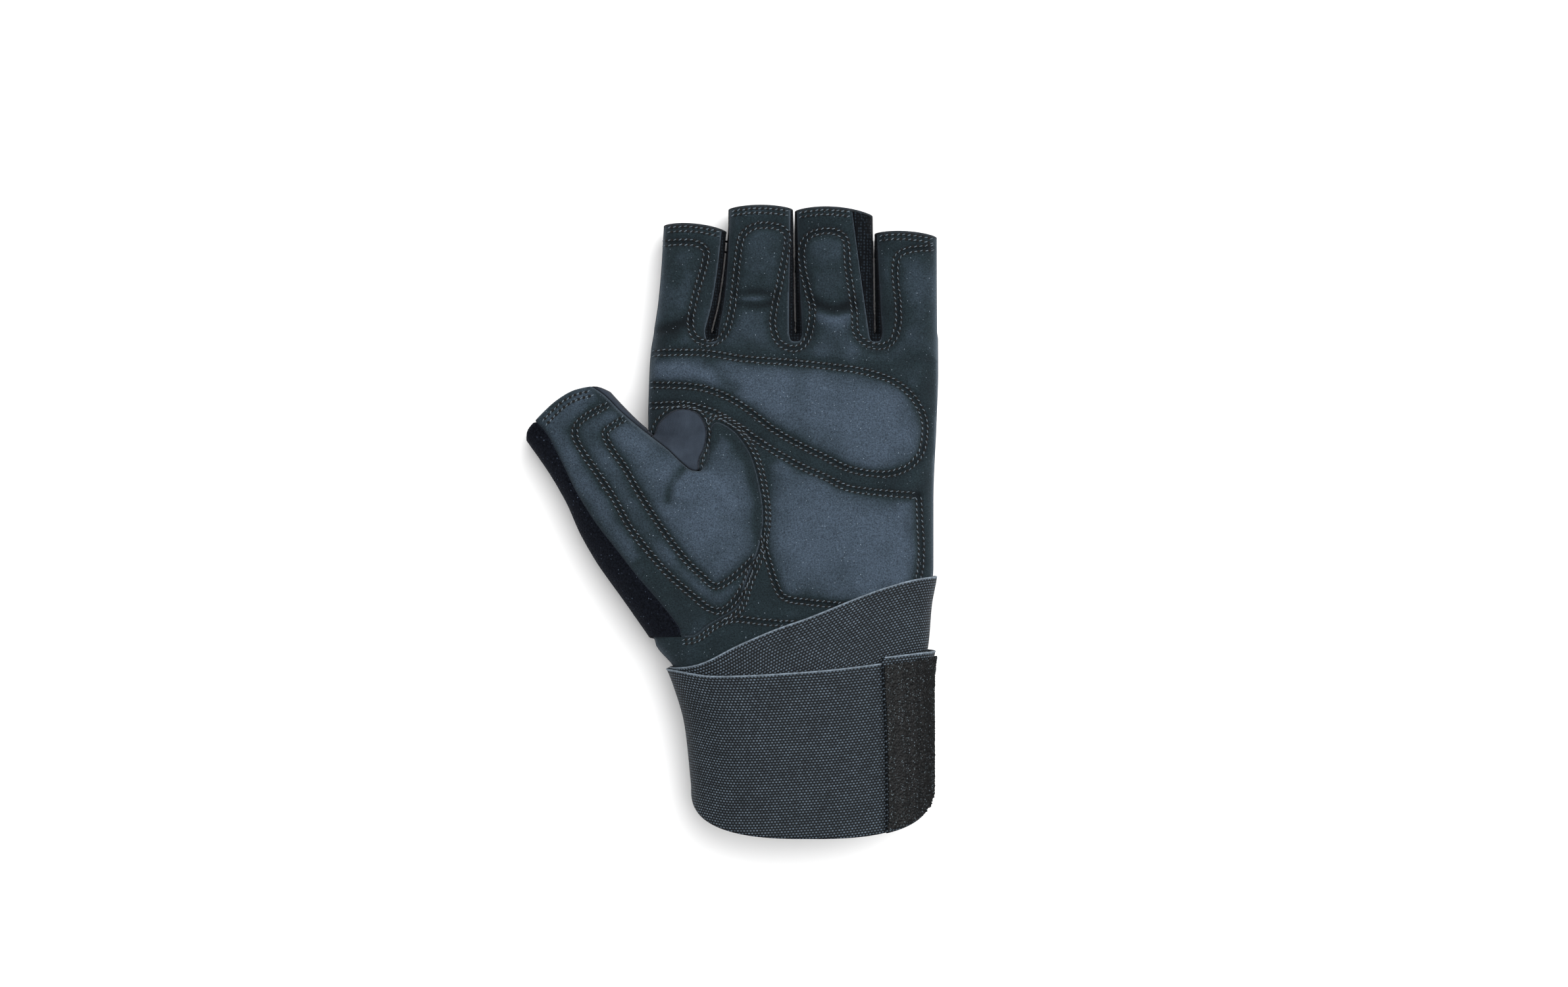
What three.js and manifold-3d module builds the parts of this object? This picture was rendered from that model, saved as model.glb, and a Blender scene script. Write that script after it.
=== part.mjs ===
// Weightlifting glove for a left hand, lying on its back with the palm up.
// Millimetres. +Z is up, the fingers point to +Y and the thumb lies towards -X.
import * as THREE from "three";
import { mergeVertices } from "three/addons/utils/BufferGeometryUtils.js";
import Module from "manifold-3d";

const wasm = await Module();
wasm.setup();

// Driving sizes of the hand
const handWidth = 105.5; // across the knuckles
const palmLength = 122; // wrist crease to the finger crotches
const palmDepth = 32; // floor to the top of the heel of the hand
const fingerDepth = 19.5;
const thumbLength = 92; // root of the thumb to its mouth
const thumbWidth = 34;
const thumbDepth = 24;
const thumbAngle = 39.7; // degrees that the thumb leans from the fingers
const cuffWidth = 80;
const cuffDepth = 29;
const cuffLength = 43; // wrist crease to the cuff's end, inside the strap
const fingerRise = 3; // lift of the finger mouths off the floor
const thumbRise = 2.5; // lift of the thumb mouth off the floor

// Finger lengths, crotch to mouth
const indexLength = 37.9;
const middleLength = 44.9;
const ringLength = 43.4;
const littleLength = 35.4;

// Cloth, pads and strap
const wall = 1.8; // suede, mesh and stretch fabric with their lining
const seamGap = 0.3; // space between two pieces that are sewn together
const slitGap = 0.8; // space between neighbouring fingers
const padHeight = 2.2; // palm pads above the suede
const fingerPadHeight = 1.4;
const fourchetteWidth = 2.4; // mesh that shows beside a finger
const digitClearance = 0.3; // undersides of the fingers and the thumb above the hand's
const strapWidth = 63.5;
const strapThickness = 1.4;
const strapClearance = 0.5; // strap to cuff
const layerGap = 0.35; // strap to strap
const hookGap = 0.5; // strap to hook patch
const hookThickness = 1.5;
const hookMargin = 4.2; // selvage of the strap left bare above the hook patch
const rimDrop = 16; // how much lower the strap's rim lies in front than at its sides

// Fineness of the solids
const ringSides = 28; // sides of a section of the hand, the thumb and the strap
const fingerSides = 18;
const edgeSteps = 2.1; // points of a seam for each point of its table
const padSteps = 2; // points of a pad's outline for each point of its table
const sideRoundness = 2.7; // exponent of the superellipse sections
const openEnd = 4; // how far a hollow is cut past its mouth
const farAway = 60; // reach of a cutting outline past the cloth

// Height that two turns of strap lift the cuff off the floor
const strapPitch = strapThickness + layerGap;
const cuffLift = strapClearance + strapPitch + strapThickness;

// Sections of the hand from the cuff's end to the finger crotches.
// y: place along the hand, shift: sideways offset, width: side to side
const handOutline = [
  { y: -1.0 * cuffLength, shift: 0.07 * cuffWidth, width: cuffWidth },
  { y: -0.49 * cuffLength, shift: 0.055 * cuffWidth, width: 1.03 * cuffWidth },
  { y: -0.16 * cuffLength, shift: 0.03 * cuffWidth, width: 1.08 * cuffWidth },
  { y: 0, shift: 0.014 * cuffWidth, width: 1.12 * cuffWidth },
  { y: 0.075 * palmLength, shift: -0.014 * handWidth, width: 0.93 * handWidth },
  { y: 0.18 * palmLength, shift: -0.012 * handWidth, width: 0.947 * handWidth },
  { y: 0.295 * palmLength, shift: -0.003 * handWidth, width: 0.971 * handWidth },
  { y: 0.5 * palmLength, shift: -0.006 * handWidth, width: 0.978 * handWidth },
  { y: 0.74 * palmLength, shift: -0.005 * handWidth, width: 0.999 * handWidth },
  { y: 0.89 * palmLength, shift: 0, width: handWidth },
  { y: palmLength, shift: 0.005 * handWidth, width: 0.99 * handWidth },
];

// Heights of the same sections above the floor, under and on top
const handHeights = [
  { under: cuffLift, top: cuffLift + cuffDepth },
  { under: cuffLift, top: cuffLift + cuffDepth },
  { under: cuffLift, top: cuffLift + cuffDepth },
  { under: cuffLift, top: cuffLift + cuffDepth },
  { under: cuffLift, top: palmDepth },
  { under: 0.6 * cuffLift, top: palmDepth },
  { under: 0.25 * cuffLift, top: palmDepth },
  { under: 0, top: 0.97 * palmDepth },
  { under: 0, top: 0.875 * palmDepth },
  { under: 0, top: 0.81 * palmDepth },
  { under: 0, top: 0.7 * palmDepth },
];
const handSections = handOutline.map((row, i) => ({ ...row, ...handHeights[i] }));
const flatUnderside = 1.08; // how far a section would reach down, were the floor not there
const seamShare = 0.47; // height of the side seam between underside and top
const mouthSeam = 0.66 * fingerDepth; // height of the side seam at the finger mouths

// Fingers, each between two edges given as shares of the hand's width from its left side.
// crotch and mouth: [left, right], bow: how far the middle of the mouth stands out
const fingers = [
  { name: "index", length: indexLength, crotch: [0.008, 0.21], mouth: [0.046, 0.27], bow: 0.06 },
  { name: "middle", length: middleLength, crotch: [0.21, 0.506], mouth: [0.27, 0.5], bow: 0.05 },
  { name: "ring", length: ringLength, crotch: [0.506, 0.782], mouth: [0.5, 0.776], bow: 0.07 },
  { name: "little", length: littleLength, crotch: [0.782, 1.0], mouth: [0.776, 0.998], bow: 0.05 },
];

// Sections along a finger, as shares: buried root, crotch, then out to the mouth
const fingerSections = [
  { palm: -0.28, along: 0, spread: 0, up: 0.5, down: 0.45 },
  { palm: -0.09, along: 0, spread: 0, up: 0.69, down: 0.58 },
  { palm: 0, along: 0.02, spread: 0.1, up: 0.62, down: 0.6 },
  { palm: 0, along: 0.3, spread: 0.5, up: 0.56, down: 0.56 },
  { palm: 0, along: 0.65, spread: 0.8, up: 0.53, down: 0.52 },
  { palm: 0, along: 1, spread: 1, up: 0.52, down: 0.5 },
];

// Sections along the thumb, as shares: buried root, palm, then out to the mouth
const thumbSections = [
  { along: -0.03, left: -0.72, right: 0.3, up: 0.5, down: 0.5, rise: 0 },
  { along: 0.03, left: -0.87, right: 0.7, up: 0.68, down: 0.6, rise: 0 },
  { along: 0.13, left: -0.85, right: 1.12, up: 0.8, down: 0.65, rise: 0 },
  { along: 0.27, left: -0.82, right: 1.36, up: 0.83, down: 0.65, rise: 0 },
  { along: 0.43, left: -0.79, right: 1.36, up: 0.78, down: 0.62, rise: 0 },
  { along: 0.57, left: -0.73, right: 1.0, up: 0.68, down: 0.58, rise: 0.15 },
  { along: 0.72, left: -0.62, right: 0.56, up: 0.57, down: 0.54, rise: 0.4 },
  { along: 0.86, left: -0.56, right: 0.51, up: 0.51, down: 0.5, rise: 0.7 },
  { along: 1, left: -0.53, right: 0.49, up: 0.48, down: 0.47, rise: 1 },
];
const thumbBow = 0.12; // share of the thumb's width that the middle of its mouth stands out
const thumbRoot = { across: 0.264, up: 0.19 }; // where the thumb's axis starts in the palm

// Slits between the fingers: the mesh's width at the mouth on either side, as shares of its own
const slits = [
  { name: "index_middle", finger: 0, left: 1.0, right: 0.9 },
  { name: "middle_ring", finger: 1, left: 1.0, right: 1.0 },
  { name: "ring_little", finger: 2, left: 3.3, right: 0.7 },
];
const slitSteps = [0, 0.12, 0.3, 0.5, 0.75, 1, 1.3]; // places along a slit, as shares of its finger
const slitFoot = [[-0.7, -1.21], [0, -1.4], [0.7, -1.21]]; // round end, as shares of the mesh's width

// Outlines of the palm's pieces: [share of hand width from its left, share of palm length]
const webPatchOutline = [
  [0.123, 0.772], [0.168, 0.76], [0.198, 0.717], [0.197, 0.66], [0.175, 0.618],
  [0.1, 0.59], [0.02, 0.64], [-0.02, 0.69], [0.032, 0.73], [0.07, 0.758],
];
const fingerPadOutline = [
  [0.035, 1.27], [0.15, 1.265], [0.195, 1.24], [0.185, 1.17], [0.15, 1.07], [0.16, 0.985],
  [0.21, 0.962], [0.265, 0.99], [0.295, 1.09], [0.32, 1.28], [0.36, 1.315], [0.44, 1.315],
  [0.475, 1.28], [0.45, 1.14], [0.425, 1.02], [0.45, 0.965], [0.505, 0.945], [0.55, 0.97],
  [0.565, 1.07], [0.53, 1.2], [0.56, 1.285], [0.62, 1.3], [0.665, 1.29], [0.685, 1.2],
  [0.71, 1.04], [0.735, 0.975], [0.785, 0.95], [0.835, 0.975], [0.86, 1.05], [0.855, 1.2],
  [0.88, 1.24], [0.955, 1.245], [0.965, 1.1], [0.955, 0.93], [0.85, 0.895], [0.6, 0.918],
  [0.4, 0.935], [0.2, 0.957], [0.035, 0.957],
];
const metacarpalPadOutline = [
  [0.035, 0.93], [0.21, 0.928], [0.4, 0.906], [0.6, 0.888], [0.77, 0.864], [0.885, 0.81],
  [0.938, 0.73], [0.938, 0.69], [0.885, 0.608], [0.82, 0.587], [0.745, 0.59], [0.6, 0.64],
  [0.43, 0.716], [0.286, 0.808], [0.2, 0.836], [0.035, 0.852],
];
const heelPadOutline = [
  [0.385, 0.65], [0.53, 0.58], [0.675, 0.52], [0.745, 0.509], [0.89, 0.5], [0.915, 0.48],
  [0.92, 0.42], [0.925, 0.34], [0.915, 0.275], [0.8, 0.225], [0.7, 0.205], [0.54, 0.21],
  [0.48, 0.222], [0.45, 0.25], [0.432, 0.3], [0.42, 0.38], [0.425, 0.49], [0.405, 0.59],
];

// Where the thumb's back is let into the back of the hand, in shares of the hand
const thumbBackRoot = [[0.045, 0.07], [0.012, 0.4], [0.01, 0.7]];

// Outlines of the thumb's pieces: [share of thumb length from its root, share of thumb width]
const thumbTopEdge = [[1.08, 0.42], [0.94, 0.44], [0.78, 0.485], [0.6, 0.58], [0.465, 0.71]];
const thumbLobe = [
  [0.478, 0.815], [0.546, 1.01], [0.578, 1.153], [0.562, 1.197], [0.476, 1.256], [0.385, 1.22],
  [0.268, 1.08], [0.172, 0.906], [0.091, 0.67], [0.023, 0.341], [-0.03, 0.06], [-0.018, -0.265],
  [-0.01, -0.5],
];
const terryEdge = [
  [0.02, -0.585], [0.167, -0.515], [0.445, -0.515], [0.716, -0.459], [0.9, -0.33], [1.08, -0.31],
];
const terryFoot = [[0.02, -0.585], [0.027, -0.71], [0.09, -0.83]];
const terryOutside = [[1.08, -2], [0.12, -2]]; // corners well outside the thumb
const gussetInside = [[0.7, 0.62], [1.08, 0.62]];
const thumbBackOutside = [[1.08, 0.75], [1.08, -2], [0.12, -2], [0.09, -0.83]];
const thumbPadOutline = [
  [0.82, 0.4], [0.827, 0.267], [0.815, 0.174], [0.755, 0.125], [0.479, 0.05], [0.231, 0.01],
  [0.137, 0.03], [0.085, 0.06], [0.075, 0.233], [0.08, 0.477], [0.11, 0.62], [0.18, 0.83],
  [0.27, 0.99], [0.38, 1.12], [0.47, 1.15], [0.54, 1.13], [0.53, 1.03], [0.47, 0.87],
  [0.445, 0.7], [0.6, 0.53], [0.72, 0.45],
];

// The strap starts behind the right side, crosses the palm to the left and goes on round.
// Its way is told in turns, which are counted in whole sides of the section.
const wholeSides = (turns) => Math.round(turns * ringSides) / ringSides;
const strapStart = wholeSides(0.28); // from the top of the section over its right side
const strapTurns = wholeSides(2.19);
const hookStart = wholeSides(2);
const strapRows = 4;
const climbShare = 0.1; // part of a turn in which the strap climbs onto its last turn

// Upper edge of the strap along its way, as a share of the palm's length from the wrist crease
const strapEdge = [
  { turn: 0, top: 0.265 },
  { turn: 0.03, top: 0.27 },
  { turn: 0.28, top: 0.135 },
  { turn: 0.53, top: 0 },
  { turn: 1.0, top: 0.05 },
  { turn: 1.06, top: 0.03 },
  { turn: 1.28, top: -0.01 },
  { turn: 1.45, top: -0.022 },
  { turn: 1.53, top: -0.006 },
  { turn: 2.0, top: 0.05 },
  { turn: 2.2, top: 0.02 },
];
const rimSide = -1.08; // height of the strap's rim at the sides, as a share of the cuff's length
const rimRoundness = 8; // exponent of the rim's round corners

// Value of a column at a place in a table, on a straight line between its rows
function between(rows, key, place, column) {
  let upper = rows.findIndex((row) => row[key] >= place);
  if (upper === -1) upper = rows.length - 1;
  if (upper === 0) upper = 1;
  const [a, b] = [rows[upper - 1], rows[upper]];
  const share = THREE.MathUtils.clamp((place - a[key]) / (b[key] - a[key]), 0, 1);
  return THREE.MathUtils.lerp(a[column], b[column], share);
}

// Height of the side seam, in palm and fingers
const seamRows = handSections.map((row) => ({
  y: row.y,
  seam: row.under + seamShare * (row.top - row.under),
}));
seamRows.push({ y: palmLength + middleLength, seam: mouthSeam });

const seamAt = (y) => between(seamRows, "y", y, "seam");
const underAt = (y) => between(handSections, "y", y, "under");

// Points of the hand's and the thumb's own frames
const handPoint = ([across, up]) => new THREE.Vector2((across - 0.5) * handWidth, up * palmLength);
const thumbLean = thumbAngle * THREE.MathUtils.DEG2RAD;
const thumbAxis = new THREE.Vector2(-Math.sin(thumbLean), Math.cos(thumbLean));
const thumbSide = new THREE.Vector2(thumbAxis.y, -thumbAxis.x);
const thumbOrigin = handPoint([thumbRoot.across, thumbRoot.up]);

function thumbPoint([along, across]) {
  return thumbOrigin.clone()
    .addScaledVector(thumbAxis, along * thumbLength)
    .addScaledVector(thumbSide, across * thumbWidth);
}

// Point of a superellipse section at an angle from its top, over its right side.
// The section stands on the line from left to right and is let out by grow.
function sectionPoint(section, angle, grow) {
  const round = (value) => Math.sign(value) * Math.abs(value) ** (2 / sideRoundness);
  const across = round(Math.sin(angle));
  const height = round(Math.cos(angle));
  const half = section.right.clone().sub(section.left).multiplyScalar(0.5);
  const reach = 1 + grow / half.length();
  const foot = section.left.clone().add(half).addScaledVector(half, across * reach);
  if (section.bow) foot.addScaledVector(section.axis, section.bow * (1 - across ** 2));
  const tall = height > 0 ? section.up + grow : section.down + grow;
  const z = Math.max(seamAt(foot.y) + tall * height, section.under - grow);
  return new THREE.Vector3(foot.x, foot.y, z);
}

// Section of the hand at a height y
function handSection(y) {
  const shift = between(handSections, "y", y, "shift");
  const width = between(handSections, "y", y, "width");
  const under = underAt(y);
  const seam = seamAt(y);
  return {
    left: new THREE.Vector2(shift - width / 2, y),
    right: new THREE.Vector2(shift + width / 2, y),
    up: between(handSections, "y", y, "top") - seam,
    down: flatUnderside * (seam - under),
    under,
  };
}

// Closed solid through rings of points, from the first ring to the last
function loft(rings) {
  const sides = rings[0].length;
  const positions = rings.flat().flatMap((point) => point.toArray());
  const faces = [];
  for (let i = 0; i < rings.length - 1; i += 1) {
    for (let k = 0; k < sides; k += 1) {
      const [a, b] = [i * sides + k, i * sides + ((k + 1) % sides)];
      faces.push(a, b, b + sides, a, b + sides, a + sides);
    }
  }
  const last = rings.length - 1;
  for (const [ring, first, turn] of [[rings[0], 0, 1], [rings[last], last * sides, 0]]) {
    const total = ring.reduce((sum, point) => sum.add(point), new THREE.Vector3());
    const centre = total.divideScalar(sides);
    const middle = positions.length / 3;
    positions.push(...centre.toArray());
    for (let k = 0; k < sides; k += 1) {
      const pair = [first + k, first + ((k + 1) % sides)];
      faces.push(middle, pair[turn], pair[1 - turn]);
    }
  }
  const geometry = new THREE.BufferGeometry();
  geometry.setAttribute("position", new THREE.Float32BufferAttribute(positions, 3));
  geometry.setIndex(faces);
  return solid(geometry);
}

// A closed geometry as a solid that can be joined and cut
function solid(geometry) {
  geometry.deleteAttribute("normal");
  geometry.deleteAttribute("uv");
  const merged = mergeVertices(geometry, 1e-4);
  return new wasm.Manifold(new wasm.Mesh({
    numProp: 3,
    vertProperties: new Float32Array(merged.attributes.position.array),
    triVerts: new Uint32Array(merged.index.array),
  }));
}

function ringOf(section, grow, sides) {
  const angle = (k) => (k / sides) * 2 * Math.PI;
  return Array.from({ length: sides }, (_, k) => sectionPoint(section, angle(k), grow));
}

// Palm and cuff, let out by grow. A negative grow gives the hollow, which runs out past the cuff.
function palmSolid(grow) {
  const last = handSections.length - 1;
  return loft(handSections.map((row, i) => {
    const section = handSection(row.y);
    const move = i === last ? grow : i === 0 && grow < 0 ? -openEnd : 0;
    section.left.y += move;
    section.right.y += move;
    return ringOf(section, grow, ringSides);
  }));
}

// One finger, let out by grow
function fingerSolid(finger, grow) {
  const edge = (side, spread) => {
    const share = THREE.MathUtils.lerp(finger.crotch[side], finger.mouth[side], spread);
    return (share - 0.5) * handWidth;
  };
  return loft(fingerSections.map((row, i) => {
    const mouth = i === fingerSections.length - 1;
    const move = mouth && grow < 0 ? openEnd : 0;
    const y = (1 + row.palm) * palmLength + row.along * finger.length + move;
    return ringOf({
      left: new THREE.Vector2(edge(0, row.spread) + slitGap / 2, y),
      right: new THREE.Vector2(edge(1, row.spread) - slitGap / 2, y),
      axis: new THREE.Vector2(0, 1),
      bow: row.along * finger.bow * (finger.mouth[1] - finger.mouth[0]) * handWidth,
      up: row.up * fingerDepth,
      down: row.down * fingerDepth,
      under: underAt(y) + digitClearance + row.spread * fingerRise,
    }, grow, fingerSides);
  }));
}

// The thumb from its root in the palm, let out by grow
function thumbSolid(grow) {
  const last = thumbSections.length - 1;
  return loft(thumbSections.map((row, i) => {
    const section = {
      left: thumbPoint([row.along, row.left]),
      right: thumbPoint([row.along, row.right]),
      axis: thumbAxis,
      bow: Math.max(row.along, 0) ** 2 * thumbBow * thumbWidth,
      up: row.up * thumbDepth,
      down: row.down * thumbDepth,
    };
    const move = i === 0 ? -grow : i === last && grow < 0 ? openEnd : 0;
    section.left.addScaledVector(thumbAxis, move);
    section.right.addScaledVector(thumbAxis, move);
    section.under = underAt(section.left.y) + digitClearance + row.rise * thumbRise;
    return ringOf(section, grow, ringSides);
  }));
}

// The whole hand, let out by grow
function handSolid(grow) {
  let hand = palmSolid(grow).add(thumbSolid(grow));
  for (const finger of fingers) hand = hand.add(fingerSolid(finger, grow));
  return hand;
}

// Outline moved outwards by a margin
function letOut(outline, margin) {
  const points = THREE.ShapeUtils.isClockWise(outline) ? [...outline].reverse() : outline;
  return points.map((point, i) => {
    const before = point.clone().sub(points.at(i - 1)).normalize();
    const after = points[(i + 1) % points.length].clone().sub(point).normalize();
    const along = before.add(after).normalize();
    return point.clone().add(new THREE.Vector2(along.y, -along.x).multiplyScalar(margin));
  });
}

// Solid that stands on an outline and cuts through the whole glove
function prism(outline, margin = 0) {
  const shape = new THREE.Shape(letOut(outline, margin));
  const geometry = new THREE.ExtrudeGeometry(shape, { depth: 2 * farAway, bevelEnabled: false });
  return solid(geometry.translate(0, 0, -farAway));
}

// Closed smooth outline through chosen points, with a number of steps for each of them
function smooth(points, fineness) {
  const raised = points.map(({ x, y }) => new THREE.Vector3(x, y, 0));
  const curve = new THREE.CatmullRomCurve3(raised, true);
  const steps = Math.round(points.length * fineness);
  return curve.getPoints(steps).slice(0, -1).map(({ x, y }) => new THREE.Vector2(x, y));
}

// Smooth line through chosen points, open at its ends
function line(points, fineness) {
  return new THREE.SplineCurve(points).getPoints(Math.round(points.length * fineness));
}

// Everything above the side seams, or below them, less half a gap
function side(above, margin = 0) {
  const sign = above ? 1 : -1;
  const start = -2 * cuffLength;
  const end = palmLength + 2 * middleLength;
  const rows = [{ y: start, seam: seamAt(start) }, ...seamRows, { y: end, seam: mouthSeam }];
  const edge = rows.map(({ y, seam }) => new THREE.Vector2(-seam - sign * (seamGap / 2 - margin), y));
  const far = [end, start].map((y) => new THREE.Vector2(-sign * 2 * farAway, y));
  const shape = new THREE.Shape([...edge, ...far]);
  const half = 2 * handWidth;
  const geometry = new THREE.ExtrudeGeometry(shape, { depth: 2 * half, bevelEnabled: false });
  return solid(geometry.rotateY(Math.PI / 2).translate(-half, 0, 0));
}

// Where each piece of the shell lies. A margin lets the piece out, to cut its neighbours clear.
function slitZone(slit, margin) {
  const finger = fingers[slit.finger];
  const edge = (sign, widen) => slitSteps.map((along) => {
    const spread = between(fingerSections.slice(2), "along", along, "spread");
    const share = THREE.MathUtils.lerp(finger.crotch[1], finger.mouth[1], spread);
    const middle = (share - 0.5) * handWidth;
    const width = fourchetteWidth * THREE.MathUtils.lerp(1, widen, Math.min(along, 1));
    return new THREE.Vector2(middle + sign * width, palmLength + along * finger.length);
  });
  const crotch = handPoint([finger.crotch[1], 1]);
  const foot = slitFoot.map(([across, up]) => new THREE.Vector2(across, up)
    .multiplyScalar(fourchetteWidth).add(crotch));
  return prism([...foot, ...edge(1, slit.right), ...edge(-1, slit.left).reverse()], margin);
}

function gussetZone(margin) {
  const edge = line(thumbTopEdge.slice(0, 4).map(thumbPoint), edgeSteps);
  return prism([...edge, ...gussetInside.map(thumbPoint)], margin);
}

function thumbPanelZone(margin) {
  const topEdge = line(thumbTopEdge.map(thumbPoint), edgeSteps);
  const ends = [thumbTopEdge.at(-1), ...thumbLobe, terryEdge[0]];
  const lobe = line(ends.map(thumbPoint), edgeSteps);
  const outer = line(terryEdge.map(thumbPoint), edgeSteps);
  const outline = [...topEdge, ...lobe.slice(1), ...outer.slice(1)];
  return prism(outline, margin).intersect(side(true, margin));
}

function webPatchZone(margin) {
  const outline = smooth(webPatchOutline.map(handPoint), edgeSteps);
  return prism(outline, margin).intersect(side(true, margin));
}

function terryZone(margin) {
  const outer = line(terryEdge.map(thumbPoint), edgeSteps);
  const foot = terryFoot.map(thumbPoint).reverse();
  const beyond = terryOutside.map(thumbPoint);
  const strip = prism([...foot.slice(0, -1), ...outer, ...beyond], margin);
  const outline = [...thumbBackRoot.map(handPoint), ...thumbBackOutside.map(thumbPoint)];
  const back = prism(outline, margin).intersect(side(false, margin));
  return strip.add(back);
}

// The shell of cloth, cut into its pieces along the seams
const shell = handSolid(0).subtract(handSolid(-wall));
const zones = [
  ...slits.map((slit) => ({
    name: `fourchette_${slit.name}`,
    zone: (margin) => slitZone(slit, margin),
  })),
  { name: "thumb_gusset", zone: gussetZone },
  { name: "thumb_terry", zone: terryZone },
  { name: "thumb_panel", zone: thumbPanelZone },
  { name: "web_patch", zone: webPatchZone },
  { name: "palm_panel", zone: (margin) => side(true, margin) },
  { name: "back_panel", zone: (margin) => side(false, margin) },
];

function shellPieces() {
  const pieces = {};
  let rest = shell;
  for (const { name, zone } of zones) {
    pieces[name] = rest.intersect(zone(0));
    rest = rest.subtract(zone(seamGap));
  }
  return pieces;
}

// Padded area: a layer on the suede inside its outline
function pad(outline, height) {
  const layer = handSolid(seamGap + height).subtract(handSolid(seamGap));
  return layer.intersect(prism(outline)).intersect(side(true));
}

// Closed sheet from a grid of points on its outer and its inner face
function sheet(columns, rows, outer, inner) {
  const grid = [];
  for (const face of [outer, inner]) {
    for (let i = 0; i <= columns; i += 1) {
      for (let j = 0; j <= rows; j += 1) grid.push(...face(i, j).toArray());
    }
  }
  const at = (face, i, j) => (face * (columns + 1) + i) * (rows + 1) + j;
  const faces = [];
  const quad = (a, b, c, d) => faces.push(a, b, c, a, c, d);
  for (let i = 0; i < columns; i += 1) {
    for (let j = 0; j < rows; j += 1) {
      quad(at(0, i, j), at(0, i, j + 1), at(0, i + 1, j + 1), at(0, i + 1, j));
      quad(at(1, i, j), at(1, i + 1, j), at(1, i + 1, j + 1), at(1, i, j + 1));
    }
    quad(at(0, i, 0), at(0, i + 1, 0), at(1, i + 1, 0), at(1, i, 0));
    quad(at(0, i + 1, rows), at(0, i, rows), at(1, i, rows), at(1, i + 1, rows));
  }
  for (let j = 0; j < rows; j += 1) {
    quad(at(0, 0, j + 1), at(0, 0, j), at(1, 0, j), at(1, 0, j + 1));
    quad(at(0, columns, j), at(0, columns, j + 1), at(1, columns, j + 1), at(1, columns, j));
  }
  const geometry = new THREE.BufferGeometry();
  geometry.setAttribute("position", new THREE.Float32BufferAttribute(grid, 3));
  geometry.setIndex(faces);
  return solid(geometry);
}

// Band wound round the cuff between two places on the strap's way
function band(firstTurn, lastTurn, lift, thickness, margin) {
  const columns = Math.round((lastTurn - firstTurn) * ringSides);
  const point = (i, j, grow) => {
    const turn = THREE.MathUtils.lerp(firstTurn, lastTurn, i / columns);
    const angle = (strapStart - turn) * 2 * Math.PI;
    const climb = THREE.MathUtils.smoothstep((turn % 1), 1 - climbShare, 1);
    const layer = Math.floor(turn) + climb;
    const rim = rimSide * cuffLength - rimDrop * (1 - Math.abs(Math.sin(angle)) ** rimRoundness);
    const top = between(strapEdge, "turn", turn, "top") * palmLength;
    const foot = Math.max(rim, top - strapWidth) + margin / 2;
    const y = THREE.MathUtils.lerp(foot, top - margin, j / strapRows);
    return sectionPoint(handSection(y), angle, strapClearance + layer * strapPitch + lift + grow);
  };
  return sheet(columns, strapRows, (i, j) => point(i, j, thickness), (i, j) => point(i, j, 0));
}

const pieces = {
  ...shellPieces(),
  finger_pad: pad(fingerPadOutline.map(handPoint), fingerPadHeight),
  metacarpal_pad: pad(smooth(metacarpalPadOutline.map(handPoint), padSteps), padHeight),
  heel_pad: pad(smooth(heelPadOutline.map(handPoint), padSteps), padHeight),
  thumb_pad: pad(smooth(thumbPadOutline.map(thumbPoint), padSteps), padHeight),
  wrist_wrap: band(0, strapTurns, 0, strapThickness, 0),
  hook_patch: band(hookStart, strapTurns, strapThickness + hookGap, hookThickness, hookMargin),
};

// Colours of the cloths
const suede = { color: 0x37424d, roughness: 0.95 };
const paddedSuede = { color: 0x424d59, roughness: 0.95 };
const smoothStretch = { color: 0x33363f, roughness: 0.7 };
const knitMesh = { color: 0x16181f, roughness: 0.9 };
const looks = {
  palm_panel: suede,
  thumb_panel: suede,
  finger_pad: paddedSuede,
  metacarpal_pad: paddedSuede,
  heel_pad: paddedSuede,
  thumb_pad: paddedSuede,
  back_panel: { color: 0x2a2f37, roughness: 0.9 },
  web_patch: smoothStretch,
  thumb_gusset: smoothStretch,
  thumb_terry: { color: 0x0e1016, roughness: 1 },
  wrist_wrap: { color: 0x454e5b, roughness: 0.85 },
  hook_patch: { color: 0x0d1013, roughness: 0.95 },
  fourchette_index_middle: knitMesh,
  fourchette_middle_ring: knitMesh,
  fourchette_ring_little: knitMesh,
};

function meshOf(name, piece) {
  const { vertProperties, triVerts } = piece.getMesh();
  const geometry = new THREE.BufferGeometry();
  geometry.setAttribute("position", new THREE.BufferAttribute(vertProperties, 3));
  geometry.setIndex(new THREE.BufferAttribute(triVerts, 1));
  geometry.computeVertexNormals();
  const material = new THREE.MeshStandardMaterial({ metalness: 0, ...looks[name] });
  const mesh = new THREE.Mesh(geometry, material);
  mesh.name = name;
  return mesh;
}

// The glove stands on the floor with the middle of its outline at the origin
const glove = new THREE.Group();
for (const [name, piece] of Object.entries(pieces)) glove.add(meshOf(name, piece));
const box = new THREE.Box3().setFromObject(glove);
const centre = box.getCenter(new THREE.Vector3());
glove.position.set(-centre.x, -centre.y, -box.min.z);

export default glove;
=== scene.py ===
"""Weightlifting glove, palm up: cloth, padding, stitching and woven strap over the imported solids.

Lengths are millimetres until a mesh is made. The hand's own frame has its origin in the middle of
the wrist crease, X towards the little finger and Y towards the fingertips.
"""

import math

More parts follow.
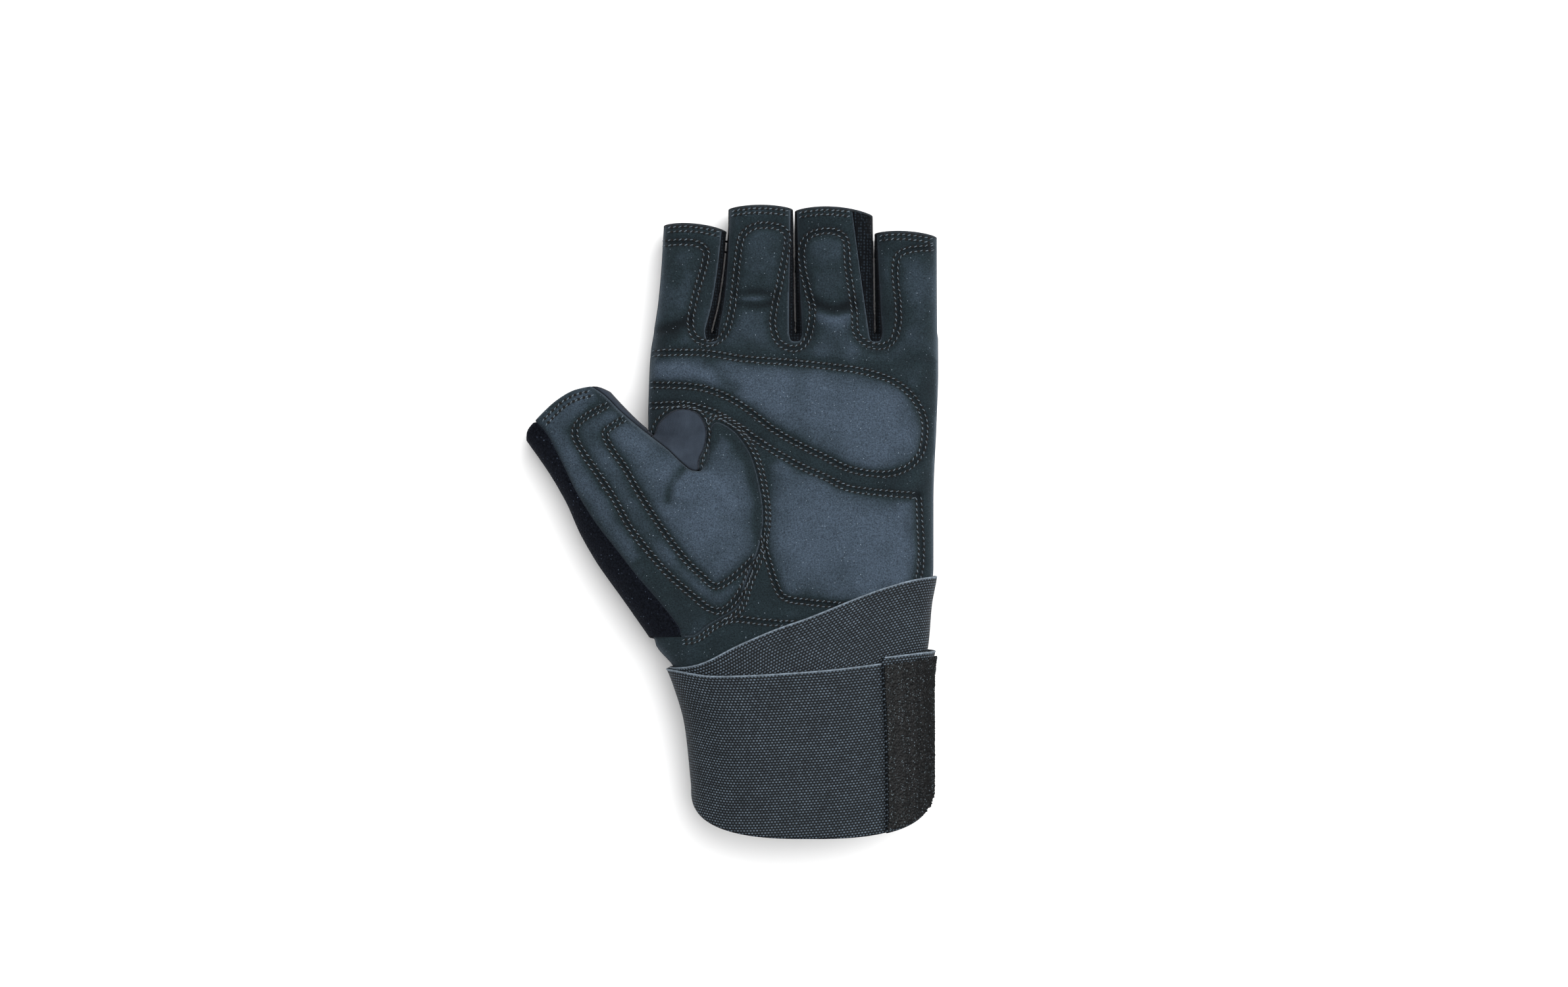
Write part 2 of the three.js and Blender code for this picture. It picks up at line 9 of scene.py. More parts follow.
import bpy
import numpy as np
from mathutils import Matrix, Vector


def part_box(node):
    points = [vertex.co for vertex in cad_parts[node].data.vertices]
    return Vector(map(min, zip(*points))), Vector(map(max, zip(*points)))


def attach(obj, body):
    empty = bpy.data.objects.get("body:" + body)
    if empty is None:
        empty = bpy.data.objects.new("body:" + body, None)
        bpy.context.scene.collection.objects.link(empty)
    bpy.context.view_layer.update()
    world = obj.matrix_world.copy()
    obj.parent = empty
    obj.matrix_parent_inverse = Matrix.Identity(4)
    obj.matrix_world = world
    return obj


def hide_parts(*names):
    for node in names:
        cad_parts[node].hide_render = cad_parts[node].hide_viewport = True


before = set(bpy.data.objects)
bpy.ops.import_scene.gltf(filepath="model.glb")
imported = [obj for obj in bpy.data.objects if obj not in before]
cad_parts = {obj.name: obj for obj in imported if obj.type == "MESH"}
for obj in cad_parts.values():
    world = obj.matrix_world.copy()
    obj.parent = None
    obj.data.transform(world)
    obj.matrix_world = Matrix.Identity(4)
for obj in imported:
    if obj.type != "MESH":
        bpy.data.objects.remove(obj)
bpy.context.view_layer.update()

MM = 0.001
rng = np.random.default_rng(7)

# Driving sizes of the hand, as in the solids
hand_width = 105.5
palm_length = 122.0
palm_depth = 32.0
finger_depth = 19.5
finger_rise = 3.0
thumb_length = 92.0
thumb_width = 34.0
thumb_depth = 24.0
thumb_rise = 2.5
thumb_lean = math.radians(39.7)
digit_clearance = 0.3
fourchette_width = 2.4
cuff_width = 80.0
cuff_depth = 29.0
cuff_length = 43.0
cuff_lift = 3.65
strap_width = 63.5
strap_thickness = 1.4

# Cloth touches where the solids need a gap, so these are smaller than theirs
slit_gap = 0.6
strap_clearance = 0.15
layer_gap = 0.1
strap_pitch = strap_thickness + layer_gap

# Strap left bare beside the hook tape, and the tape's face over the strap
hook_margin = 2.4
hook_lift = 0.9

# Place of the strap's lower rim at the middle of the cuff, and how far it draws in at the sides
rim_low = -61.0
rim_rise = 17.5

# Rounding of the sections, from 2 for an ellipse, and height of the side seam in them
section_power = 2.7
seam_share = 0.47

# Where the hand's frame lies in the row frame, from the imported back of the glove
back_low, back_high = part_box("back_panel")
origin = np.array([back_high.x / MM - hand_width / 2, back_low.y / MM + cuff_length, 0.0])

# Hand from the cuff's end to the crotches: place, sideways offset, width, underside, top
hand_rows = np.array([
    (-1.0 * cuff_length, 0.07 * cuff_width, cuff_width, cuff_lift, cuff_lift + cuff_depth),
    (-0.49 * cuff_length, 0.055 * cuff_width, 1.03 * cuff_width, cuff_lift, cuff_lift + cuff_depth),
    (-0.16 * cuff_length, 0.03 * cuff_width, 1.08 * cuff_width, cuff_lift, cuff_lift + cuff_depth),
    (0, 0.014 * cuff_width, 1.12 * cuff_width, cuff_lift, cuff_lift + cuff_depth),
    (0.075 * palm_length, -0.014 * hand_width, 0.93 * hand_width, cuff_lift, palm_depth),
    (0.18 * palm_length, -0.012 * hand_width, 0.947 * hand_width, 0.6 * cuff_lift, palm_depth),
    (0.295 * palm_length, -0.003 * hand_width, 0.971 * hand_width, 0.25 * cuff_lift, palm_depth),
    (0.5 * palm_length, -0.006 * hand_width, 0.978 * hand_width, 0, 0.97 * palm_depth),
    (0.74 * palm_length, -0.005 * hand_width, 0.999 * hand_width, 0, 0.875 * palm_depth),
    (0.89 * palm_length, 0, hand_width, 0, 0.81 * palm_depth),
    (palm_length, 0.005 * hand_width, 0.99 * hand_width, 0, 0.7 * palm_depth),
])

# Fingers: length, left and right edge at the crotch and at the mouth, bow of the mouth, and by how
# much it falls towards the little finger on either side of its middle
fingers = [
    dict(name="index", length=37.9, crotch=(0.008, 0.21), mouth=(0.046, 0.27), bow=0.06, tilt=1.1),
    dict(name="middle", length=44.9, crotch=(0.21, 0.506), mouth=(0.27, 0.5), bow=0.05, tilt=0.0),
    dict(name="ring", length=43.4, crotch=(0.506, 0.782), mouth=(0.5, 0.776), bow=0.07, tilt=0.9),
    dict(name="little", length=35.4, crotch=(0.782, 1.0), mouth=(0.776, 0.998), bow=0.05, tilt=0.7),
]
# Side seam at the middle finger's mouth: place along the hand and height
mouth_seam_row = (palm_length + fingers[1]["length"], 0.66 * finger_depth)

# Finger sections: share of the palm, of the finger, spread to the mouth, height up and down
finger_rows = np.array([
    (-0.28, 0, 0, 0.45, 0.45), (-0.09, 0, 0, 0.66, 0.58), (0, 0.02, 0.1, 0.62, 0.6),
    (0, 0.3, 0.5, 0.56, 0.56), (0, 0.65, 0.8, 0.53, 0.52), (0, 1, 1, 0.52, 0.5),
])

# Thumb sections: share of its length, left, right, height up and down, rise off the floor
thumb_rows = np.array([
    (-0.03, -0.72, 0.3, 0.5, 0.5, 0), (0.03, -0.87, 0.7, 0.68, 0.6, 0),
    (0.13, -0.85, 1.12, 0.8, 0.65, 0), (0.27, -0.82, 1.36, 0.83, 0.65, 0),
    (0.43, -0.79, 1.36, 0.78, 0.62, 0), (0.57, -0.73, 1.0, 0.68, 0.58, 0.15),
    (0.72, -0.62, 0.56, 0.57, 0.54, 0.4), (0.86, -0.56, 0.51, 0.51, 0.5, 0.7),
    (1, -0.53, 0.49, 0.48, 0.47, 1), (1.05, -0.52, 0.47, 0.48, 0.47, 1),
])
thumb_bow = 0.12

# Meshes between the fingers: width at the mouth on either side, as shares of the mesh's own
slit_widths = [(0.8, 0.3), (0.5, 0.4), (3.3, 0.3)]
slit_foot = np.array([(-0.7, -1.21), (0, -1.4), (0.7, -1.21)])

# Seams of the palm side. Hand places are shares of its width and length, thumb places of its own.
thumb_mouth = [
    (1.0, -0.53), (1.027, -0.444), (1.036, -0.311), (1.042, -0.162), (1.044, 0.003), (1.033, 0.201),
    (1.0, 0.384), (0.975, 0.45), (0.941, 0.497),
]
thumb_top_line = [
    (1.0, 0.384), (0.939, 0.43), (0.858, 0.45), (0.783, 0.483), (0.685, 0.538), (0.614, 0.581),
    (0.55, 0.601), (0.494, 0.631), (0.465, 0.703),
]
terry_line = [
    (0.014, -0.583), (0.055, -0.528), (0.167, -0.516), (0.302, -0.525), (0.445, -0.515),
    (0.571, -0.506), (0.715, -0.457), (0.848, -0.37), (0.966, -0.305), (1.036, -0.311),
]
terry_foot = [(0.014, -0.583), (0.05, -0.7), (0.084, -0.82)]
lobe_line = [
    (0.572, 1.092), (0.578, 1.151), (0.561, 1.195), (0.525, 1.234), (0.476, 1.251), (0.384, 1.219),
    (0.268, 1.078), (0.171, 0.906), (0.091, 0.671), (0.022, 0.342), (-0.03, 0.114), (-0.032, -0.056),
    (-0.019, -0.264), (-0.016, -0.45), (0.014, -0.583),
]
tongue_line = [(0.216, 0.717), (0.209, 0.685), (0.209, 0.644), (0.2, 0.612), (0.18, 0.585)]
web_line = [
    (0.176, 0.59), (0.175, 0.618), (0.191, 0.65), (0.2, 0.685), (0.198, 0.717), (0.182, 0.746),
    (0.159, 0.764), (0.123, 0.772), (0.093, 0.768), (0.066, 0.756), (0.032, 0.728), (0.02, 0.703),
    (0.016, 0.693),
]
web_corner = 0.709
thumb_back_line = [(0.04, 0.08), (0.012, 0.4), (0.008, 0.69)]

# Stitched quilting of the palm, each a route that a twin row of stitches follows
finger_route = [
    (0.043, 1.266), (0.15, 1.266), (0.195, 1.244), (0.191, 1.199), (0.17, 1.14), (0.15, 1.071),
    (0.143, 1.022), (0.161, 0.98), (0.209, 0.965), (0.248, 0.98), (0.273, 1.014), (0.291, 1.089),
    (0.307, 1.215), (0.32, 1.281), (0.355, 1.311), (0.405, 1.317), (0.457, 1.309), (0.477, 1.281),
    (0.466, 1.215), (0.432, 1.071), (0.427, 1.014), (0.448, 0.967), (0.5, 0.947), (0.539, 0.967),
    (0.559, 1.014), (0.564, 1.071), (0.545, 1.14), (0.53, 1.199), (0.53, 1.258), (0.559, 1.291),
    (0.618, 1.301), (0.661, 1.291), (0.68, 1.266), (0.684, 1.199), (0.707, 1.063), (0.709, 1.014),
    (0.725, 0.98), (0.782, 0.955), (0.836, 0.97), (0.859, 1.022), (0.859, 1.089), (0.85, 1.156),
    (0.852, 1.215), (0.87, 1.236), (0.909, 1.246), (0.984, 1.252),
]
metacarpal_route = [
    (0.007, 0.937), (0.111, 0.939), (0.209, 0.935), (0.307, 0.921), (0.405, 0.913), (0.5, 0.907),
    (0.598, 0.898), (0.695, 0.888), (0.773, 0.874), (0.841, 0.852), (0.889, 0.823), (0.927, 0.781),
    (0.948, 0.736), (0.948, 0.685), (0.932, 0.634), (0.889, 0.596), (0.82, 0.577), (0.743, 0.581),
    (0.675, 0.596), (0.598, 0.63), (0.52, 0.663), (0.432, 0.707), (0.355, 0.76), (0.286, 0.799),
    (0.209, 0.827), (0.132, 0.839), (0.002, 0.844),
]
heel_top_route = [
    (-0.002, 0.781), (0.111, 0.784), (0.161, 0.777), (0.23, 0.758), (0.307, 0.719), (0.375, 0.677),
    (0.452, 0.634), (0.53, 0.596), (0.607, 0.567), (0.675, 0.537), (0.743, 0.526), (0.841, 0.518),
    (0.918, 0.512),
]
heel_side_route = [(0.927, 0.512), (0.932, 0.423), (0.936, 0.339), (0.927, 0.272), (0.9, 0.2)]
heel_foot_route = [
    (0.398, 0.4), (0.4, 0.36), (0.423, 0.287), (0.443, 0.238), (0.47, 0.209), (0.539, 0.199),
    (0.627, 0.191), (0.78, 0.181),
]
wrist_route = [(0.257, 0.14), (0.3, 0.148), (0.35, 0.144), (0.407, 0.138), (0.482, 0.134), (0.62, 0.13)]
thumb_inner_route = [
    (0.817, 0.45), (0.825, 0.267), (0.82, 0.173), (0.754, 0.125), (0.67, 0.111), (0.581, 0.067),
    (0.478, 0.028), (0.359, -0.002), (0.23, -0.016), (0.137, 0.013), (0.08, 0.042), (0.063, 0.232),
    (0.066, 0.476), (0.072, 0.6),
]
thumb_outer_route = [
    (0.899, 0.404), (0.918, 0.154), (0.916, -0.006), (0.88, -0.097), (0.806, -0.134),
    (0.711, -0.155), (0.589, -0.19), (0.478, -0.248), (0.366, -0.26), (0.231, -0.251),
    (0.115, -0.202), (0.029, -0.156), (-0.012, -0.06), (-0.01, 0.114), (0.01, 0.283), (0.04, 0.443),
]

# Folds pressed into the cloth: route, depth and width. A negative depth is a ridge.
folds = [
    ([(0.3, 1.108), (0.366, 1.118), (0.43, 1.108)], 0.9, 1.7),
    ([(0.31, 1.086), (0.37, 1.078), (0.42, 1.09)], 1.0, 1.6),
    ([(0.3, 1.097), (0.366, 1.099), (0.42, 1.1)], -0.7, 1.6),
    ([(0.57, 1.086), (0.634, 1.066), (0.7, 1.078)], 1.3, 2.2),
    ([(0.58, 1.05), (0.634, 1.035), (0.69, 1.046)], -0.7, 2.6),
    ([(0.01, 1.0), (0.075, 1.012), (0.135, 1.034)], 1.1, 2.2),
    ([(0.01, 0.962), (0.052, 0.969), (0.095, 0.99)], 0.5, 2.0),
    ([(0.135, 0.6), (0.1, 0.572), (0.076, 0.54), (0.068, 0.5)], 0.9, 1.9),
    ([(0.155, 0.592), (0.2, 0.56), (0.24, 0.52), (0.268, 0.49)], -0.9, 2.6),
    ([(0.16, 0.56), (0.19, 0.5), (0.205, 0.43)], -0.6, 4.0),
    ([(0.2, 0.905), (0.26, 0.86), (0.3, 0.83)], 0.3, 2.2),
    ([(0.05, 0.88), (0.12, 0.875), (0.2, 0.868)], -0.5, 3.0),
]

# Upper edge of the strap along its way: turn, share of the palm's length
strap_rows = np.array([
    (0, 0.265), (0.03, 0.27), (0.28, 0.135), (0.53, 0), (0.75, 0.02), (1.0, 0.05), (1.06, 0.03),
    (1.28, -0.01), (1.45, -0.022), (1.53, -0.006), (2.0, 0.05), (2.2, 0.02),
])
# In turns: where the strap starts, from the top over the right side, its whole length, where the
# hook tape starts on it, and the stretch on which it climbs on to the layer below
strap_start = 0.286
strap_turns = 2.197
hook_start = 2.0
climb_share = 0.1

# Where the strap's edge crosses the palm: left end and span in hand widths, and how far the
# stitching runs on under it
crossing_left = -0.415
crossing_span = 0.9
crossing_tuck = 1.5


# Curves and distances in plan

# Spacing of the points of outlines and routes, of pads and of the small ends of meshes
point_spacing = 1.5
pad_spacing = 2
foot_spacing = 0.8
# Steps of a curve between two points, and how many pairs of places are worked out at once
curve_steps = 12
block_size = 3_000_000


def smooth_value(x, places, values):
    """Value at x on a smooth curve through the places: cubic pieces, whose slope at a place is the
    harmonic mean of the straight slopes before and after it, or level at a turning point."""
    step, rise = np.diff(places), np.diff(values) / np.diff(places)
    before, after = rise[:-1], rise[1:]
    same_way = before * after > 0
    mean = 2 * before * after / np.where(same_way, before + after, 1)
    slope = np.concatenate([rise[:1], np.where(same_way, mean, 0), rise[-1:]])
    x = np.clip(x, places[0], places[-1])
    i = np.clip(np.searchsorted(places, x, side="right") - 1, 0, len(step) - 1)
    t = (x - places[i]) / step[i]
    near, far = values[i], values[i + 1]
    return (near * (1 + 2 * t) * (1 - t) ** 2 + far * t ** 2 * (3 - 2 * t)
            + step[i] * t * (1 - t) * ((1 - t) * slope[i] - t * slope[i + 1]))


def smooth_path(points, spacing=point_spacing):
    """Curve through points: between two of them a cubic, whose slope at each is half the step from
    the point before to the point after. It is then divided evenly along its length."""
    p = np.asarray(points, float)
    ends = 2 * p[[0, -1]] - p[[1, -2]]
    q = np.concatenate([ends[:1], p, ends[1:]])
    t = np.linspace(0, 1, curve_steps, endpoint=False)[None, :, None]
    a, b, c, d = q[:-3, None], q[1:-2, None], q[2:-1, None], q[3:, None]
    curve = 0.5 * (2 * b + (c - a) * t + (2 * a - 5 * b + 4 * c - d) * t ** 2
                   + (3 * b - a - 3 * c + d) * t ** 3)
    return respaced(np.concatenate([curve.reshape(-1, p.shape[1]), p[-1:]]), spacing)


def respaced(path, spacing):
    """The same path with its points evenly apart."""
    length = np.concatenate([[0], np.cumsum(np.linalg.norm(np.diff(path, axis=0), axis=1))])
    places = np.linspace(0, length[-1], max(2, round(length[-1] / spacing) + 1))
    return np.stack([np.interp(places, length, axis) for axis in path.T], 1)


def nearest(points, path, reach):
    """Distance in plan from each point to a path, and the nearest place on it. The distance to
    every stretch of the path is the length left over after the point's projection on to it.
    Points further off than about reach are given the distance reach."""
    distance, foot = np.full(len(points), float(reach)), points.copy()
    samples = respaced(path, reach / 2)
    low = np.minimum(samples.min(0), points.min(0)) - 2 * reach
    size = ((np.maximum(samples.max(0), points.max(0)) + 2 * reach - low) / reach).astype(int) + 1
    marked = np.zeros(size, bool)
    cell = ((samples - low) / reach).astype(int)
    for i in (-1, 0, 1):
        for j in (-1, 0, 1):
            marked[cell[:, 0] + i, cell[:, 1] + j] = True
    own = ((points - low) / reach).astype(int)
    close = np.flatnonzero(marked[own[:, 0], own[:, 1]])
    start, way = path[:-1], np.diff(path, axis=0)
    square = (way ** 2).sum(1) + 1e-12
    for block in np.array_split(close, max(1, len(close) * len(way) // block_size)):
        offset = points[block, None] - start
        share = np.clip((offset * way).sum(2) / square, 0, 1)
        gap = offset - share[..., None] * way
        far = (gap ** 2).sum(2)
        best = far.argmin(1)
        row = np.arange(len(block))
        distance[block] = np.minimum(np.sqrt(far[row, best]), reach)
        foot[block] = points[block] - gap[row, best]
    return distance, foot


def inside(points, outline):
    """Whether each point lies in a closed outline: a line from it towards +X crosses the outline an
    odd number of times."""
    a, b = outline, np.roll(outline, -1, axis=0)
    odd = np.zeros(len(points), bool)
    for block in np.array_split(np.arange(len(points)), max(1, len(points) * len(a) // block_size)):
        x, y = points[block, :1], points[block, 1:]
        spans = (a[:, 1] > y) != (b[:, 1] > y)
        rise = np.where(b[:, 1] == a[:, 1], 1, b[:, 1] - a[:, 1])
        crossing = a[:, 0] + (y - a[:, 1]) / rise * (b[:, 0] - a[:, 0])
        odd[block] = (spans & (x < crossing)).sum(1) % 2 == 1
    return odd


# Places of the hand and the thumb

def hand(places):
    """Plan points from shares of the hand's width and of the palm's length."""
    p = np.asarray(places, float)
    return (p - (0.5, 0)) * (hand_width, palm_length)


def hand_path(route, spacing=point_spacing):
    """Smooth curve in plan through places of the hand."""
    return smooth_path(hand(route), spacing)


thumb_axis = np.array([-math.sin(thumb_lean), math.cos(thumb_lean)])
thumb_side = np.array([thumb_axis[1], -thumb_axis[0]])
thumb_root = hand([(0.264, 0.19)])[0]


def thumb(places):
    """Plan points from shares of the thumb's length along its axis and of its width across it."""
    p = np.asarray(places, float)
    return thumb_root + p[:, :1] * thumb_length * thumb_axis + p[:, 1:] * thumb_width * thumb_side


def thumb_path(route, spacing=point_spacing):
    """Smooth curve in plan through places of the thumb."""
    return smooth_path(thumb(route), spacing)


def hand_row(y, *columns):
    """Values of the hand's sections at heights y, one array for each column asked for."""
    return [smooth_value(y, hand_rows[:, 0], hand_rows[:, i]) for i in columns]


def thumb_row(along, *columns):
    """The same for the thumb's sections, at shares of its length."""
    return [smooth_value(along, thumb_rows[:, 0], thumb_rows[:, i]) for i in columns]


def hand_edge(side, low, high):
    """Silhouette of the hand between two heights, on its left (-1) or right (1) side."""
    y = np.linspace(low, high, max(2, round(abs(high - low) / point_spacing)))
    x = smooth_value(y, hand_rows[:, 0], hand_rows[:, 1] + side * hand_rows[:, 2] / 2)
    return np.stack([x, y], 1)


def thumb_edge(column, first, last, count):
    """Silhouette of the thumb between two shares of its length, on its outer side (column 1) or its
    inner side (column 2)."""
    along = np.linspace(first, last, count)
    return thumb(np.stack([along, thumb_row(along, column)[0]], 1))


def finger_edges(finger, y):
    """Left and right edge of a finger at heights y."""
    along = np.clip((y - palm_length) / finger["length"], 0, 1)
    spread = smooth_value(along, finger_rows[2:, 1], finger_rows[2:, 2])
    edges = [finger["crotch"][i] + (finger["mouth"][i] - finger["crotch"][i]) * spread for i in (0, 1)]
    left, right = [(edge - 0.5) * hand_width for edge in edges]
    return left + slit_gap / 2, right - slit_gap / 2


def finger_mouth(finger, x):
    """Height of a finger's mouth at x: a bow over its length, tilted towards the little finger."""
    left, right = finger_edges(finger, palm_length + finger["length"])
    across = np.clip((2 * x - left - right) / (right - left), -1, 1)
    bow = finger["bow"] * (finger["mouth"][1] - finger["mouth"][0]) * hand_width
    return palm_length + finger["length"] + bow * (1 - across ** 2) - finger["tilt"] * across


def slit_edge(i, side, y):
    """Edge of the mesh between fingers i and i + 1, on its left (-1) or right (1) side, at y.
    With side 0 it is the middle of the slit."""
    finger = fingers[i]
    along = np.clip((y - palm_length) / finger["length"], 0, 1)
    middle = finger_edges(finger, y)[1] + slit_gap / 2
    widen = slit_widths[i][side > 0]
    return middle + side * fourchette_width * (1 + (widen - 1) * along)


# Heights of the surfaces

def dome(across):
    """Height of a rounded section, from 0 at its sides to 1: the superellipse of section_power."""
    return (1 - np.minimum(np.abs(across), 1) ** section_power) ** (1 / section_power)


def melt(a, b, width):
    """The higher of two heights, rounded where they meet within width of each other."""
    near = np.maximum(width - np.abs(a - b), 0) / width
    return np.maximum(a, b) + near ** 2 * width / 4


seam_places = np.append(hand_rows[:, 0], mouth_seam_row[0])
seam_heights = np.append(hand_rows[:, 3] + seam_share * (hand_rows[:, 4] - hand_rows[:, 3]),
                         mouth_seam_row[1])
# The palm is let down over crotch_round before the crotches, and the thumb rises out of the palm
# over root_round of its length. The hand's underside is fuller by belly, so that it lies flat.
crotch_round = 11.0
root_round = 0.17
belly = 1.08
# Parts melt together within melt_width of each other, but less so where they stand under
# melt_stand over the seam. Where a part isn't, it counts as buried.
melt_width = 2.6
melt_stand = 6.0
buried = 60.0


def seam_height(y):
    """Height of the side seam, where palm side and back are sewn together."""
    return smooth_value(y, seam_places, seam_heights)


def under_height(y):
    """Height of the hand's flat underside."""
    return hand_row(y, 3)[0]


def palm_part(p):
    """Rounded section of the palm, let down to the seam before the crotches. Gives how far it
    stands over and under the seam, the height of its underside, and where it is."""
    x, y = p.T
    shift, width, under, top = hand_row(y, 1, 2, 3, 4)
    seam = seam_height(y)
    before_crotch = (y - palm_length + crotch_round) / crotch_round * (y > palm_length - crotch_round)
    rounded = dome(2 * (x - shift) / width) * dome(before_crotch)
    here = (np.abs(2 * (x - shift) / width) < 1) & (y < palm_length)
    return rounded * (top - seam), rounded * belly * (seam - under), under, here


def finger_part(p, finger):
    """The same for a finger, between its edges. Over the palm it is no wider than the palm, from
    which it comes free on the last stretch before the crotch."""
    x, y = p.T
    left, right = finger_edges(finger, y)
    across = np.abs(2 * x - left - right) / (right - left)
    shift, width = hand_row(y, 1, 2)
    freed = np.clip(1 + (y - palm_length) / crotch_round, 0, 1)
    across = np.maximum(across, np.abs(2 * (x - shift) / width) - freed)
    places = palm_length * (1 + finger_rows[:, 0]) + finger_rows[:, 1] * finger["length"]
    up, down, spread = [smooth_value(y, places, finger_rows[:, i]) for i in (3, 4, 2)]
    under = under_height(y) + digit_clearance + spread * finger_rise
    here = (across < 1) & (y > places[0])
    return dome(across) * up * finger_depth, dome(across) * down * finger_depth, under, here


def thumb_part(p):
    """The same for the thumb. A place on its bowed sections is set back by the bow first."""
    offset = p - thumb_root
    along, aside = offset @ thumb_axis / thumb_length, offset @ thumb_side / thumb_width
    left, right = thumb_row(along, 1, 2)
    across = (2 * aside - left - right) / (right - left)
    bow = np.maximum(along, 0) ** 2 * thumb_bow * thumb_width / thumb_length
    along = along - bow * (1 - np.minimum(across ** 2, 1))
    left, right, up, down, rise = thumb_row(along, 1, 2, 3, 4, 5)
    across = (2 * aside - left - right) / (right - left)
    start = thumb_rows[0, 0]
    rounded = dome(across) * dome(np.clip((start + root_round - along) / root_round, 0, 1))
    under = under_height(p[:, 1]) + digit_clearance + rise * thumb_rise
    here = (np.abs(across) < 1) & (along > start)
    return rounded * up * thumb_depth, rounded * down * thumb_depth, under, here


def plain_height(p, side):
    """Height of the bare form, above (1) or below (-1): the parts' rounded sections melted
    together, between the side seam and the flat underside."""
    seam = seam_height(p[:, 1])
    parts = [palm_part(p), thumb_part(p)] + [finger_part(p, finger) for finger in fingers]
    over = np.zeros(len(p))
    for up, down, under, here in parts:
        stand = up if side > 0 else np.minimum(down, seam - under)
        width = melt_width * np.minimum(over / melt_stand, 1) + 1e-6
        over = melt(over, np.where(here, stand, -buried), width)
    return seam + side * over if side > 0 else np.maximum(seam - over, under_height(p[:, 1]))


# Padding, channels and folds, which the bare form gets on the palm side

finger_border = hand([(1.04, 1.252), (1.04, 0.93), (0.85, 0.895), (0.6, 0.918), (0.4, 0.935),
                      (0.2, 0.957), (-0.04, 0.957), (-0.04, 1.266)])
metacarpal_pad = hand_path([(-0.05, 0.937)] + metacarpal_route + [(-0.05, 0.844)], pad_spacing)
finger_pad = np.concatenate([hand_path(finger_route, pad_spacing), finger_border])
heel_pad = np.concatenate([
    hand_path(heel_top_route[6:], pad_spacing), hand_path(heel_side_route, pad_spacing),
    hand_path(heel_foot_route[::-1], pad_spacing), hand([(0.41, 0.6)]),
])
thumb_pad = np.concatenate([
    thumb_path(thumb_inner_route, pad_spacing),
    thumb([(0.1, 0.67), (0.25, 0.98), (0.38, 1.15), (0.48, 1.18), (0.54, 1.13), (0.47, 0.75)]),
])
thumb_band = np.concatenate([
    thumb_path(thumb_outer_route, pad_spacing), thumb_path(thumb_inner_route, pad_spacing)[::-1],
])
thumb_tip = thumb([(1.04, -0.31), (0.7, -0.46), (0.35, -0.52), (0.35, -0.33), (0.7, -0.2), (0.92, -0.1),
                   (0.94, 0.37), (1.0, 0.42), (1.05, 0.1)])
# Each pad: outline, height of its crown, how far in from its stitches it rises, how much painted light its
# crown gets
pads = [
    (finger_pad, 0.9, 2.6, 0.3), (metacarpal_pad, 1.9, 4.0, 1.0), (heel_pad, 1.9, 4.5, 0.95),
    (thumb_pad, 1.5, 3.5, 0.9), (thumb_band, 0.9, 2.2, 0.5), (thumb_tip, 0.3, 3.0, 0.75),
]
pad_reach = 14.0
# Stitched channels: depth, width, and how far off they are looked for. Channels and folds are
# painted darker than the pads' crowns, as shade, and slow waves make the cloth uneven in height,
# with painted light on their highs and painted shade on their lows.
channel_depth, channel_width, channel_reach = 0.75, 1.7, 5.0
channel_shade, fold_shade = 0.45, 0.8
wave_height, wave_shade = 0.16, 0.12
# The padding grows in over pad_stand above the side seam, and over strap_fade from the strap
pad_stand, strap_fade = 7.0, 4.0
palm_routes = [hand_path(route) for route in (
    finger_route, metacarpal_route, heel_top_route, heel_side_route, heel_foot_route, wrist_route)]
thumb_routes = [thumb_path(route) for route in (thumb_inner_route, thumb_outer_route)]
fold_paths = [(hand_path(route), depth, width) for route, depth, width in folds]


def slow_wave(x, y):
    """Uneven lie of the cloth: a product of two slow sines, each bent by a sine of the other
    direction, and half as high a product of two faster ones that run askew."""
    coarse = np.sin(x / 7.3 + 1.3 * np.sin(y / 11.0)) * np.sin(y / 8.7 + np.sin(x / 13.0))
    return coarse + 0.5 * np.sin(x / 3.1 + y / 4.3) * np.sin(y / 3.7 - x / 5.2)


def padding(p):
    """Height that pads, channels and folds add, and the painted light and shade from -1 to 1: painted
    light rising with a place's height in its pad, painted shade in the channels and folds, and both
    from the slow waves. A pad rises from its stitches as one minus an exponential, and channels and
    folds are bell curves of the distance to their route."""
    lift, crown = np.zeros(len(p)), np.zeros(len(p))
    for outline, height, rise, paleness in pads:
        distance = nearest(p, np.concatenate([outline, outline[:1]]), pad_reach)[0]
        full = np.where(inside(p, outline), 1 - np.exp(-distance / rise), 0)
        lift += height * full
        # Painted light on the pad's crown, growing with the place's height in the pad
        crown = np.maximum(crown, full * paleness)
    for route in palm_routes + thumb_routes:
        distance = nearest(p, route, channel_reach)[0]
        bell = np.exp(-(distance / channel_width) ** 2)
        lift -= channel_depth * bell
        # Painted shade in the stitched channel
        crown -= channel_shade * bell
    for route, depth, width in fold_paths:
        distance = nearest(p, route, 3 * width)[0]
        bell = np.exp(-(distance / width) ** 2)
        lift -= depth * bell
        # Painted shade in a fold, and painted light on a ridge
        crown -= fold_shade * depth * bell
    wave = slow_wave(*p.T)
    # The slow waves get painted light on their highs and painted shade on their lows
    return lift + wave_height * wave, np.clip(crown + wave_shade * wave, -1, 1)


def strap_line(x):
    """Where the strap's upper edge lies on the palm: it climbs evenly towards the little finger."""
    share = (x / hand_width - crossing_left) / crossing_span
    return strap_rows[1, 1] * palm_length * share - crossing_tuck


